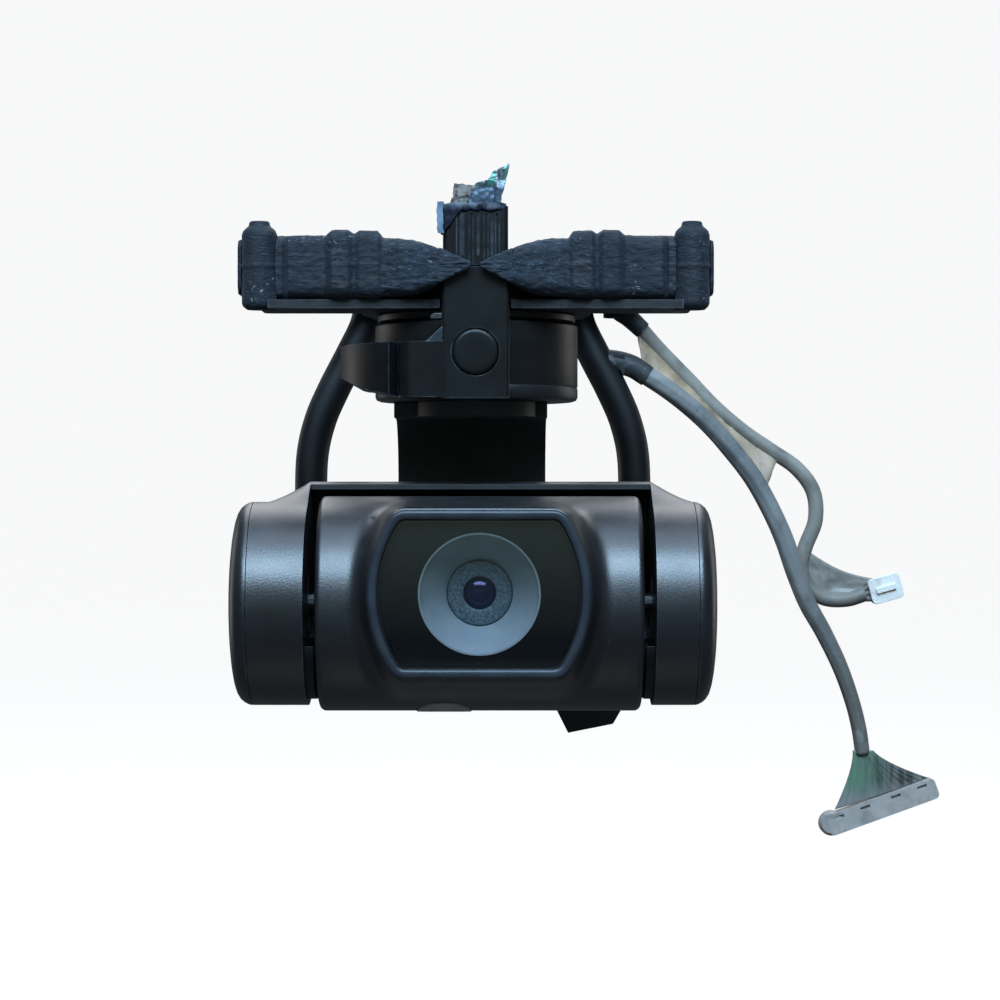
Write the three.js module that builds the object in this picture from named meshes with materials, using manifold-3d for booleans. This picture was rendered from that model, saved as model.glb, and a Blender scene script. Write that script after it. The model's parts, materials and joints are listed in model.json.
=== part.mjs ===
// Three-axis camera gimbal of a small folding quadcopter, in millimetres.
// +Z is up and the lens looks along -Y. The origin is on the yaw axis, on the flat
// top of the damper plate's boss.
//
// The pieces hang from one another in a chain:
//   damper plate -> yaw motor and arm -> roll motor and frame -> tilt motor and camera
import * as THREE from "three";
import { mergeVertices } from "three/addons/utils/BufferGeometryUtils.js";
import Module from "manifold-3d";

const wasm = await Module();
wasm.setup();

// ---------------------------------------------------------------- driving dimensions

const TILT = { y: -5, z: -29.9 }; // where the tilt axis (X) and the roll axis (Y) cross
const GAP = 0.05; // between pieces that sit against each other
const RUN = 0.03; // radial clearance of a shaft in its bearing

const CAMERA_X = 0.35; // the camera sits this far off the yaw axis, away from the tilt motor
const END_X = { left: 19.85, right: 18.75 }; // outer face of each end cover, from the camera's middle
const COVER = 1.5; // thickness of an end cover
const DRUM_R = 8.25; // end drums of the roll frame
const DRUM_IN = 13.9; // inner face of each end drum
const DRUM_WALL = 0.9;
const BAND_IN = 9.4; // the frame's band runs round the camera at this radius
const BAND_OUT = 10.8;
const SHOULDER_X = 14; // the band starts falling to the drum here
const SEAT_Y = 11.6; // rear face of the roll motor's seat

const POD_R = 8.7; // camera housing
const POD_X = 12.95; // its half width
const POD_WALL = 1.1;
const POD_SPLIT = 1; // plane between the front and the rear shell
const WINDOW = { w: 17.4, h: 13.1, side: 10.9, corner: 1.6, z: 1.1 }; // bezel outline
const BEZEL = 0.8; // width of the bezel's frame
const BEZEL_Y = -11.5; // front face of the bezel
const BOSS_Y = -10.6; // front face of the shell's boss
const MOUTH_R = 4.6; // lens funnel, at the window
const BARREL_R = 2.55;
const PUPIL_R = 1.3;

const CAN_R = 8.4; // yaw motor
const CAN_TOP = -7.05;
const CAN_BOTTOM = -13.35;
const POST_X = 2.7; // half width of the front post, made of tower and bracket
const POST_Y = -9.9; // its front face
const WING_R = 11.3; // stop wing on the left of the yaw motor
const WING_TOP = -8.85;
const PLUG = { r: 1.83, z: -9.7 };

const PLATE = { top: -1.4, bottom: -3.4 }; // damper plate
const FRONT_POST = { x: 17.4, y: -7.3 };
const REAR_POST = { x: 8.1, y: 14.6 };
const POST_TOP = 0.9;
const SLEEVE_LOW = -5.37; // underside of the rubber sleeves

const HOOP_Y = 18; // plane of the guard hoop
const HOOP_R = 1.45;
const HOOP_X = -0.5; // its middle
const SIGNAL_R = 0.95; // radius of the camera's signal cable
const MOTOR_R = 0.7; // radius of the motor cable

const FINE = 36; // facets round a large drum
const ROUND = 20; // facets round a small part

// ---------------------------------------------------------------- shapes

// A closed geometry as a solid that can be joined and cut.
function solid(geometry) {
  const bare = geometry.index ? geometry.toNonIndexed() : geometry.clone();
  for (const name of Object.keys(bare.attributes)) {
    if (name !== "position") bare.deleteAttribute(name);
  }
  const merged = mergeVertices(bare, 1e-4);
  const corners = merged.index.array;
  const make = (flip) => {
    const triangles = [];
    for (let i = 0; i < corners.length; i += 3) {
      const [a, b, c] = corners.slice(i, i + 3);
      if (a !== b && b !== c && a !== c) triangles.push(...(flip ? [a, c, b] : [a, b, c]));
    }
    return new wasm.Manifold(
      new wasm.Mesh({
        numProp: 3,
        vertProperties: new Float32Array(merged.attributes.position.array),
        triVerts: new Uint32Array(triangles),
      }),
    );
  };
  const made = make(false);
  return made.volume() < 0 ? make(true) : made;
}

const joined = (...parts) => parts.reduce((a, b) => a.add(b));
const cut = (part, ...cutters) => cutters.reduce((a, b) => a.subtract(b), part);

// A block between two corners.
function block([x0, y0, z0], [x1, y1, z1]) {
  const box = new THREE.BoxGeometry(x1 - x0, y1 - y0, z1 - z0);
  return solid(box.translate((x0 + x1) / 2, (y0 + y1) / 2, (z0 + z1) / 2));
}

// A turned body from [radius, height] corners, about the X, Y or Z axis.
function turned(axis, profile, facets = ROUND) {
  const points = profile.map(([r, h]) => new THREE.Vector2(r, h));
  const body = new THREE.LatheGeometry(points, facets);
  if (axis !== "y") body.rotateX(Math.PI / 2);
  if (axis === "x") body.rotateY(Math.PI / 2);
  return solid(body);
}

const disc = (axis, r, from, to, facets) =>
  turned(axis, [[0, from], [r, from], [r, to], [0, to]], facets);

const ring = (axis, inner, outer, from, to, facets) =>
  turned(axis, [[inner, from], [outer, from], [outer, to], [inner, to], [inner, from]], facets);

// An outline carried along an axis. Seen from the front an outline is (X, Z), from the
// right side it is (Y, Z), and from above it is (X, Y).
const VIEWS = {
  y: [[1, 0, 0], [0, 0, 1], [0, -1, 0]],
  x: [[0, 1, 0], [0, 0, 1], [1, 0, 0]],
  z: [[1, 0, 0], [0, 1, 0], [0, 0, 1]],
};

function extruded(axis, shape, from, to, options = {}) {
  const sign = axis === "y" ? -1 : 1;
  const [start, end] = [from * sign, to * sign].sort((a, b) => a - b);
  const bevel = options.bevel ?? 0;
  const body = new THREE.ExtrudeGeometry(shape, {
    depth: end - start - 2 * bevel,
    bevelEnabled: bevel > 0,
    bevelThickness: bevel,
    bevelSize: bevel,
    bevelOffset: -bevel,
    bevelSegments: options.bevelSegments ?? 1,
    curveSegments: options.curveSegments ?? 4,
  });
  body.translate(0, 0, start + bevel);
  const [right, up, along] = VIEWS[axis].map((v) => new THREE.Vector3(...v));
  return solid(body.applyMatrix4(new THREE.Matrix4().makeBasis(right, up, along)));
}

function polygon(points) {
  return new THREE.Shape(points.map(([x, y]) => new THREE.Vector2(x, y)));
}

// A closed body through rings of points, with flat ends.
function skin(rings) {
  const n = rings[0].length;
  const points = rings.flat();
  const index = [];
  for (let r = 0; r + 1 < rings.length; r++) {
    for (let i = 0; i < n; i++) {
      const [a, b] = [r * n + i, r * n + ((i + 1) % n)];
      index.push(a, b, a + n, b, b + n, a + n);
    }
  }
  [0, rings.length - 1].forEach((r) => {
    const middle = rings[r]
      .reduce((sum, p) => sum.add(p), new THREE.Vector3())
      .divideScalar(n);
    points.push(middle);
    for (let i = 0; i < n; i++) {
      const [a, b] = [r * n + i, r * n + ((i + 1) % n)];
      index.push(points.length - 1, ...(r === 0 ? [b, a] : [a, b]));
    }
  });
  const body = new THREE.BufferGeometry().setFromPoints(points);
  body.setIndex(index);
  return solid(body);
}

// A round tube along a smooth route, open to be cut from other parts.
function tube(route, radius, sides, steps) {
  const circle = new THREE.Shape().absarc(0, 0, radius, 0, 2 * Math.PI);
  const extrudePath = new THREE.CatmullRomCurve3(route);
  const options = { steps, extrudePath, bevelEnabled: false, curveSegments: sides / 2 };
  return solid(new THREE.ExtrudeGeometry(circle, options));
}

// ---------------------------------------------------------------- materials and nodes

const finish = (color, roughness, metalness = 0) =>
  new THREE.MeshStandardMaterial({ color, roughness, metalness });

const MATERIALS = {
  housing: finish(0x1c2129, 0.42, 0.3),
  frame: finish(0x1f252e, 0.4, 0.35),
  bezel: finish(0x4a5563, 0.35, 0.6),
  glass: finish(0x0a0f12, 0.05),
  matteBlack: finish(0x15181b, 0.75),
  funnel: finish(0x2c3a42, 0.45, 0.2),
  lens: finish(0x0b1030, 0.04),
  motor: finish(0x3a3a38, 0.38, 0.5),
  bracket: finish(0x1a2028, 0.45, 0.3),
  plastic: finish(0x17191c, 0.6),
  rubber: finish(0x22303f, 0.9),
  steel: finish(0xb8bcc0, 0.3, 1),
  magnet: finish(0x8a8d90, 0.4, 0.9),
  core: finish(0x6b5f4a, 0.55, 0.4),
  board: finish(0x1d4a35, 0.6),
  flex: finish(0xb98a3c, 0.5),
  foil: finish(0x9fb2c0, 0.35, 0.7),
  cable: finish(0x5f6c70, 0.6),
  plug: finish(0xc8c8c4, 0.55),
};

const gimbal = new THREE.Group();
const yaw = new THREE.Group();
const roll = new THREE.Group();
const camera = new THREE.Group();
gimbal.add(yaw);
yaw.add(roll);
roll.add(camera);
roll.position.set(CAMERA_X, TILT.y, TILT.z);

function node(group, name, part, material) {
  const { vertProperties, triVerts } = part.getMesh();
  const geometry = new THREE.BufferGeometry();
  geometry.setAttribute(
    "position",
    new THREE.BufferAttribute(new Float32Array(vertProperties), 3),
  );
  geometry.setIndex(new THREE.BufferAttribute(new Uint32Array(triVerts), 1));
  geometry.computeVertexNormals();
  const mesh = new THREE.Mesh(geometry, material);
  mesh.name = name;
  group.add(mesh);
  return mesh;
}

// A laminated motor core: a hub with wound teeth that end in a round face.
function statorShape(bore, outer, teeth) {
  const shape = new THREE.Shape();
  const root = bore + (outer - bore) * 0.35;
  const step = (2 * Math.PI) / teeth;
  for (let i = 0; i < teeth; i++) {
    const a = i * step;
    const corner = (r, t) => [r * Math.cos(a + t * step), r * Math.sin(a + t * step)];
    [[root, 0], [outer, 0.1], [outer, 0.45], [outer, 0.8], [root, 0.9]].forEach(([r, t], k) => {
      if (i === 0 && k === 0) shape.moveTo(...corner(r, t));
      else shape.lineTo(...corner(r, t));
    });
  }
  shape.holes.push(new THREE.Path().absarc(0, 0, bore, 0, 2 * Math.PI, true));
  return shape;
}

const CORE = { curveSegments: 8 };

// A small cross-head screw that points along -axis, with its head's top at `top`.
function screw(axis, r, top, length) {
  const head = r * 1.9;
  const body = turned(axis, [[0, top - length], [r, top - length], [r, top - 0.5], [head, top - 0.5],
    [head, top - 0.12], [head - 0.12, top], [0, top]], 10);
  const slot = [head * 0.62, 0.13];
  const arm = (w, h) =>
    axis === "y"
      ? block([-w, top - 0.22, -h], [w, top + 1, h])
      : block([-w, -h, top - 0.22], [w, h, top + 1]);
  return cut(body, arm(slot[0], slot[1]), arm(slot[1], slot[0]));
}

// ---------------------------------------------------------------- camera

// The window's outline: flat top and bottom, bowed sides and round corners.
function windowShape(inset = 0, lift = 0) {
  const h = WINDOW.h / 2 - inset;
  const side = WINDOW.side - inset;
  const r = Math.max(0.3, WINDOW.corner - inset);
  const cx = WINDOW.w / 2 - inset - side;
  const fz = h - r;
  const fx = cx + Math.sqrt((side - r) ** 2 - fz ** 2);
  const turn = Math.atan2(fz, fx - cx);
  const z = WINDOW.z + lift;
  const half = Math.PI / 2;
  return new THREE.Shape()
    .absarc(fx, z + fz, r, half, turn, true)
    .absarc(cx, z, side, turn, -turn, true)
    .absarc(fx, z - fz, r, -turn, -half, true)
    .absarc(-fx, z - fz, r, -half, turn - Math.PI, true)
    .absarc(-cx, z, side, turn - Math.PI, -turn - Math.PI, true)
    .absarc(-fx, z + fz, r, -turn - Math.PI, -3 * half, true);
}

// One section of the boss that carries the window, at depth y.
function bossRing(y, grow, lift) {
  return windowShape(-grow, lift)
    .getSpacedPoints(40)
    .slice(0, -1)
    .map((p) => new THREE.Vector3(p.x, y, p.y));
}

function podDrum(r, x, edge) {
  return turned("x", [[0, -x], [r - edge, -x], [r, edge - x], [r, x - edge], [r - edge, x], [0, x]], FINE);
}

function addCamera() {
  const boss = skin([
    bossRing(-2.4, 1.3, -0.75),
    bossRing(-6.8, 1.05, -0.45),
    bossRing(-9.4, 0.5, -0.15),
    bossRing(BOSS_Y, 0.15, 0),
  ]);
  const inside = podDrum(POD_R - POD_WALL, POD_X - POD_WALL, 0.2);
  const opening = extruded("y", windowShape(BEZEL + 0.15), BOSS_Y - 1, -4, { curveSegments: 3 });
  const shaftHole = disc("x", 1.05, -POD_X - 1, POD_X + 1, 16);
  const label = disc("z", 2.35, -POD_R - 1, -6, ROUND).translate([-2.9, -1.7, 0]);
  const front = cut(joined(podDrum(POD_R, POD_X, 0.5), boss), inside, opening, shaftHole, label);
  const ahead = block([-20, -20, -20], [20, POD_SPLIT, 20]);
  const behind = block([-20, POD_SPLIT + GAP, -20], [20, 20, 20]);
  node(camera, "camera_front_shell", front.intersect(ahead), MATERIALS.housing);
  node(camera, "camera_rear_shell", cut(podDrum(POD_R, POD_X, 0.5), inside).intersect(behind),
    MATERIALS.housing);

  const labelPlug = disc("z", 2.2, -POD_R - 1, -6, ROUND).translate([-2.9, -1.7, 0]);
  const skinOnly = cut(podDrum(POD_R + 0.12, POD_X, 0.5), podDrum(POD_R - 0.8, POD_X + 1, 0.5));
  node(camera, "bottom_plug", labelPlug.intersect(skinOnly), MATERIALS.plug);

  const bezel = cut(
    extruded("y", windowShape(), BEZEL_Y, BOSS_Y - GAP, { bevel: 0.2 }),
    extruded("y", windowShape(BEZEL), BEZEL_Y - 1, BOSS_Y + 1),
  );
  node(camera, "window_bezel", bezel, MATERIALS.bezel);
  node(camera, "window_glass", extruded("y", windowShape(BEZEL + 0.05), BEZEL_Y + 0.3, BOSS_Y - GAP),
    MATERIALS.glass);
  addLens();
  addTiltShaft();
}

// The funnel behind the window, the lens and what carries it.
function addLens() {
  const lens = new THREE.Group();
  lens.position.z = WINDOW.z;
  camera.add(lens);
  const maskFront = BOSS_Y + GAP;
  const throat = -7.2;
  const mask = cut(
    extruded("y", windowShape(BEZEL + 0.25, -WINDOW.z), maskFront, maskFront + 0.35, { curveSegments: 3 }),
    disc("y", MOUTH_R, maskFront - 1, maskFront + 1, 32),
  );
  const funnel = turned("y", [[MOUTH_R, maskFront], [MOUTH_R + 0.4, maskFront],
    [MOUTH_R + 0.4, maskFront + 0.7], [BARREL_R + 0.9, throat + 0.4], [BARREL_R + 0.2, throat + 0.4],
    [BARREL_R + 0.2, throat], [MOUTH_R, maskFront]], 32);
  node(lens, "lens_baffle", joined(mask, funnel), MATERIALS.funnel);

  const barrel = turned("y", [[PUPIL_R, -7.45], [BARREL_R, -7.45], [BARREL_R, -1.4], [1.9, -1.4],
    [1.9, -6.85], [PUPIL_R, -6.85], [PUPIL_R, -7.45]], 24);
  node(lens, "lens_barrel", barrel, MATERIALS.matteBlack);

  const curve = 2.2; // radius of the front element's face
  const dome = [0, 0.6, 1.1, 1.5, 1.8].map((r) => [r, -7.2 + curve - Math.sqrt(curve ** 2 - r ** 2)]);
  node(lens, "lens_element", turned("y", [...dome, [1.8, -5.6], [0, -5.6]], 16), MATERIALS.lens);

  const holder = cut(
    block([-4.2, -3.2, -4.2], [4.2, 1.15, 4.2]),
    disc("y", BARREL_R + GAP, -4, -1.35),
    disc("y", 2.2, -2, 0),
    block([-3.7, -0.9, -3.1], [3.7, 2, 3.1]),
  );
  node(lens, "lens_holder", holder, MATERIALS.plastic);
  const sensor = block([-3.2, 0.4, -2.5], [3.2, 1.3, 2.5]);
  const chips = joined(block([-9.5, 2, -3], [-5.5, 2.9, 3]), block([-3.5, 2, -3.2], [4, 3.2, 3.2]));
  node(lens, "camera_board", joined(block([-10.8, 1.2, -6.2], [10.8, 2.05, 5.4]), sensor, chips),
    MATERIALS.board);
}

// What joins the camera to the roll frame: the tilt motor's shaft and rotor on the left
// and a plain pivot pin with a balance weight on the right.
function addTiltShaft() {
  const wall = POD_X - POD_WALL;
  const end = COVER + 0.3 - END_X.left;
  const shaft = joined(disc("x", 1, end, 0.3 - wall, 16), disc("x", 2.6, GAP - wall, 0.7 - wall, 16));
  node(camera, "tilt_shaft", shaft, MATERIALS.steel);
  const weight = disc("x", 6.6, DRUM_IN + 1.05, DRUM_IN + 3.05, 28); // balances the tilt motor
  const pin = joined(disc("x", 0.85, wall - 0.3, DRUM_IN + 3, 16), disc("x", 2, wall - 0.7, wall - GAP, 16), weight);
  node(camera, "pivot_pin", pin, MATERIALS.steel);
  const [bore, back, rim] = [1 + RUN, end + 0.6, end + 2.7];
  const rotor = turned("x", [[bore, end], [6.9, end], [6.9, rim], [6.3, rim], [6.3, back], [bore, back],
    [bore, end]], 28);
  node(camera, "tilt_rotor", rotor, MATERIALS.magnet);
}

// ---------------------------------------------------------------- roll frame

// How far the frame's outline stands out past the drums, from 0 to 1, at an angle
// measured from the rear (+Y) towards the top.
function bandShare(angle) {
  const fade = THREE.MathUtils.smoothstep;
  const deg = THREE.MathUtils.radToDeg(angle);
  return deg > 14 ? 1 - fade(deg, 60, 110) : fade(deg, -63, -33);
}

// One section of the frame across X: the round drum with the band standing out behind.
function frameRing(x, points = FINE) {
  const past = Math.max(0, Math.abs(x) - SHOULDER_X) / (END_X.right - COVER - SHOULDER_X);
  const rise = (BAND_OUT - DRUM_R) * (1 - Math.min(1, past));
  return Array.from({ length: points }, (_, i) => {
    const a = (i / points) * 2 * Math.PI - Math.PI;
    const r = DRUM_R + rise * bandShare(a);
    return new THREE.Vector3(x, r * Math.cos(a), r * Math.sin(a));
  });
}

function addRollFrame() {
  const [left, right] = [COVER - END_X.left, END_X.right - COVER];
  const sections = [left, -right, -15.6, -SHOULDER_X, SHOULDER_X, 15.6, right];
  const body = skin(sections.map((x) => frameRing(x)));
  const seat = disc("y", 7.2, 9.8, SEAT_Y, 28).translate([-CAMERA_X, 0, 0]);
  const cuts = [
    disc("x", BAND_IN, -DRUM_IN, DRUM_IN, FINE),
    block([-DRUM_IN, -20, -20], [DRUM_IN, 1.5, 20]), // front edge of the band, above the camera
    block([-DRUM_IN, -20, -20], [DRUM_IN, 20, -6]), // lower edge of the band
    block([-DRUM_IN, 0, -20], [DRUM_IN, 8.95, -3.7]), // room for the boss as it tilts down
    disc("y", 1.05, 5, 15, 16).translate([-CAMERA_X, 0, 0]),
  ];
  for (const side of [-1, 1]) {
    const span = (near, far) => [side * near, side * far].sort((a, b) => a - b);
    cuts.push(disc("x", DRUM_R - DRUM_WALL, ...span(DRUM_IN + 0.8, 22), 28));
    cuts.push(disc("x", 2.5 + RUN, ...span(DRUM_IN - 0.5, DRUM_IN + 1.5), 20));
  }
  node(roll, "roll_frame", cut(joined(body, seat), ...cuts), MATERIALS.frame);

  const lip = DRUM_R - DRUM_WALL - 0.1;
  for (const [name, side] of [["left", -1], ["right", 1]]) {
    const at = (x) => x * side;
    const out = (depth) => at(END_X[name] - depth);
    const [seam, inside] = [out(COVER - GAP), out(COVER + 0.1)];
    const cover = turned("x", [[0, out(0)], [6.2, out(0)], [7.3, out(0.2)], [7.95, out(0.6)],
      [DRUM_R, out(1.1)], [DRUM_R, seam], [lip, seam], [lip, inside], [0, inside]], FINE);
    node(roll, `${name}_end_cover`, cover, MATERIALS.frame);
    const inner = side < 0 ? 1 : 0.85;
    const span = [at(DRUM_IN), at(DRUM_IN + 0.8)].sort((a, b) => a - b);
    node(roll, `${name}_tilt_bearing`, ring("x", inner + RUN, 2.5, ...span, 16), MATERIALS.steel);
  }
  const core = extruded("x", statorShape(1.6, 5.9, 9), -17, -14.9, CORE);
  node(roll, "tilt_stator", core, MATERIALS.core);

  const onAxis = new THREE.Group();
  onAxis.position.x = -CAMERA_X;
  roll.add(onAxis);
  const [bore, near, web, rim] = [1 + RUN, SEAT_Y + GAP, SEAT_Y + 0.7, 15.3];
  const rotor = turned("y", [[bore, near], [7.5, near], [7.5, rim], [6.9, rim], [6.9, web], [bore, web],
    [bore, near]], 28);
  node(onAxis, "roll_rotor", rotor, MATERIALS.motor);
  node(onAxis, "roll_magnet_ring", ring("y", 6.3, 6.8, web + GAP, rim - 0.2, 28), MATERIALS.magnet);
  node(onAxis, "roll_shaft", disc("y", 1, 9.6, 17.2, 16), MATERIALS.steel);
}

// ---------------------------------------------------------------- yaw arm

function addYawArm() {
  const front = 10.8; // the plate that carries the roll motor, front and rear faces
  const back = 12.4;
  const top = CAN_BOTTOM - GAP;
  const bend = { y: 5.5, r: back - 5.5 };
  const under = 1.2; // thickness of the tongue under the yaw motor
  const side = new THREE.Shape()
    .moveTo(-6, top)
    .lineTo(bend.y, top)
    .absarc(bend.y, top - bend.r, bend.r, Math.PI / 2, 0, true)
    .lineTo(back, TILT.z)
    .lineTo(front, TILT.z)
    .lineTo(front, top - bend.r)
    .absarc(5.1, top - bend.r, front - 5.1, 0, Math.PI / 2, false)
    .lineTo(-6, top - under);
  const tongue = joined(disc("z", 4.9, -20, -10, 28), block([-4.5, 0, -40], [4.5, 8, -10]),
    block([-6.9, 1, -40], [5.9, 8, -10]));
  const column = block([-6.9, 7, -40], [5.9, 20, -10]);
  const swept = extruded("x", side, -7, 7);
  const lower = joined(
    disc("y", 7.4, front, back, 32),
    ring("y", 1.3, 1.95, 7.7, front + 0.2, 16),
  ).translate([0, 0, TILT.z]);
  const holes = joined(
    disc("y", 2.4 + RUN, 11.4, 14, 20).translate([0, 0, TILT.z]),
    disc("y", 1.3, 7, 14, 16).translate([0, 0, TILT.z]),
    disc("z", 1.25, -20, -10, 16),
  );
  const arm = cut(joined(swept.intersect(joined(tongue, column)), lower), holes);
  node(yaw, "yaw_arm", arm, MATERIALS.plastic);

  const strip = 0.25;
  const [low, high] = [back + GAP, back + GAP + strip];
  const outer = new THREE.Shape()
    .absarc(bend.y, top - bend.r, high - bend.y, 1.3, 0, true)
    .lineTo(high, -22.2)
    .lineTo(low, -22.2)
    .absarc(bend.y, top - bend.r, low - bend.y, 0, 1.3, false);
  node(yaw, "arm_flex", extruded("x", outer, -2.4, 2.4), MATERIALS.flex);

  const can = turned("z", [[1.25, CAN_BOTTOM], [CAN_R - 0.3, CAN_BOTTOM], [CAN_R, CAN_BOTTOM + 0.3],
    [CAN_R, CAN_TOP], [7.7, CAN_TOP], [7.7, -12.5], [1.25, -12.5], [1.25, CAN_BOTTOM]], FINE);
  node(yaw, "yaw_rotor_can", can, MATERIALS.motor);
  node(yaw, "yaw_magnet_ring", ring("z", 7, 7.6, -12.4, -8, 28), MATERIALS.magnet);
  node(yaw, "yaw_shaft", disc("z", 1.2, -14.3, -4.4, 20), MATERIALS.steel);
  addRollMotor(back);
}

// The still half of the roll motor, on the arm's plate, and its rear cover.
function addRollMotor(back) {
  const onAxis = new THREE.Group();
  onAxis.position.z = TILT.z;
  yaw.add(onAxis);
  node(onAxis, "roll_stator", extruded("y", statorShape(2.1, 5.9, 9), 7.75, 10.1, CORE), MATERIALS.core);
  node(onAxis, "roll_bearing", ring("y", 1 + RUN, 2.4, 11.4, back, 16), MATERIALS.steel);
  const face = back + 1.3;
  const screwAt = [0, Math.PI];
  const place = (a) => [5.5 * Math.cos(a), 0, 5.5 * Math.sin(a)];
  const holes = screwAt.map((a) => disc("y", 0.55, 10, 20, 12).translate(place(a)));
  const cover = turned("y", [[0, back + 0.35], [7, back + 0.35], [7.2, back + 0.6],
    [7, back + 1], [6.6, face], [0, face]], 32);
  const flexSlot = block([-2.6, 10, 5.8], [2.6, back + 0.7, 9]);
  node(onAxis, "roll_rear_cover", cut(cover, flexSlot, ...holes), MATERIALS.plastic);
  screwAt.forEach((a, i) => {
    const made = screw("y", 0.5, face + 0.5, 1.4).translate(place(a));
    node(onAxis, `rear_cover_screw_${i + 1}`, made, MATERIALS.steel);
  });
}

// ---------------------------------------------------------------- fixed side

function addYawMotorBase() {
  const bore = 2.35;
  const base = turned("z", [[bore, -11.3], [2.9, -11.3], [2.9, -6.85], [8.2, -6.85], [8.2, -6.2],
    [7.6, -6.2], [7.6, PLATE.bottom - GAP], [bore, PLATE.bottom - GAP], [bore, -11.3]], 32);
  const screwAt = [0, 1, 2].map((i) => Math.PI / 2 + (i * 2 * Math.PI) / 3);
  const place = (a) => [6.5 * Math.cos(a), 6.5 * Math.sin(a), 0];
  const holes = screwAt.map((a) => disc("z", 0.55, -5.8, 2, 12).translate(place(a)));
  node(gimbal, "yaw_motor_base", cut(base, ...holes), MATERIALS.motor);
  node(gimbal, "yaw_stator", extruded("z", statorShape(3.05, 6.6, 12), -11.2, -8.4, CORE), MATERIALS.core);
  node(gimbal, "yaw_lower_bearing", ring("z", 1.2 + RUN, bore - RUN, -11.2, -10.2, 16), MATERIALS.steel);
  node(gimbal, "yaw_upper_bearing", ring("z", 1.2 + RUN, bore - RUN, -5.4, -4.4, 16), MATERIALS.steel);
  screwAt.forEach((a, i) => {
    const made = screw("z", 0.5, PLATE.top + 0.52, 3).translate(place(a));
    node(gimbal, `plate_screw_${i + 1}`, made, MATERIALS.steel);
  });
  return holes;
}

// The moulded plate that floats on the rubber posts, seen from above as a wide H.
function addDamperPlate(screwHoles) {
  const outline = joined(
    disc("z", 9.4, PLATE.bottom, PLATE.top, FINE),
    block([-15, -8, PLATE.bottom], [15, -3, PLATE.top]),
    block([-18.6, -5.4, PLATE.bottom], [18.6, -3, PLATE.top]),
    block([-6.4, 5, PLATE.bottom], [6.4, 17, PLATE.top]),
    extruded("z", polygon([[-15, 12.6], [15, 12.6], [15, 17.4], [12.6, 19.8], [-12.6, 19.8], [-15, 17.4]]),
      PLATE.bottom, PLATE.top),
    disc("z", 2.5, PLATE.top - 0.2, 0, 28),
    ...[-1, 1].map((s) => block([s * 5.6 - 0.5, 6, PLATE.top - 0.1], [s * 5.6 + 0.5, 19, PLATE.top + 0.8])),
  );
  const slots = [-1, 1].map((s) =>
    extruded("z", polygon([[s * 1.1, 10.2], [s * 4.3, 10.2], [s * 4.3, 17], [s * 1.1, 17]]), -5, 0));
  const rearEyes = [-1, 1].map((s) => disc("z", 1.05, -5, 0, 12).translate([s * REAR_POST.x, REAR_POST.y, 0]));
  const notch = block([-POST_X - 0.15, -12, -5], [POST_X + 0.15, -6.4, 0]);
  node(gimbal, "damper_plate", cut(outline, ...slots, ...rearEyes, notch, ...screwHoles), MATERIALS.plastic);

  const lower = joined(
    block([-17.4, -8.6, -6.15], [17.4, -2.2, -5.45]),
    disc("z", 9.4, -6.15, -5.45, FINE),
  );
  const ringHole = disc("z", 7.8, -7, -4, FINE);
  const gate = block([-POST_X - 0.15, -12, -7], [POST_X + 0.15, -7, -4]);
  const eyes = [-1, 1].map((s) => disc("z", 1.5, -7, -4, 16).translate([s * FRONT_POST.x, FRONT_POST.y, 0]));
  node(gimbal, "retaining_plate", cut(lower, ringHole, gate, ...eyes), MATERIALS.plastic);
}

// One section of a rubber sleeve: a rounded rectangle across X.
function sleeveRing(x, { front, back, top, bottom }) {
  const r = Math.min(0.9, (top - bottom) * 0.3, (back - front) * 0.3);
  const corners = [[back - r, top - r, 0], [front + r, top - r, 1], [front + r, bottom + r, 2],
    [back - r, bottom + r, 3]];
  return corners.flatMap(([y, z, quarter]) =>
    [0, 0.5, 1].map((t) => {
      const a = (quarter + t) * (Math.PI / 2);
      return new THREE.Vector3(x, y + r * Math.cos(a), z + r * Math.sin(a));
    }),
  );
}

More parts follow.
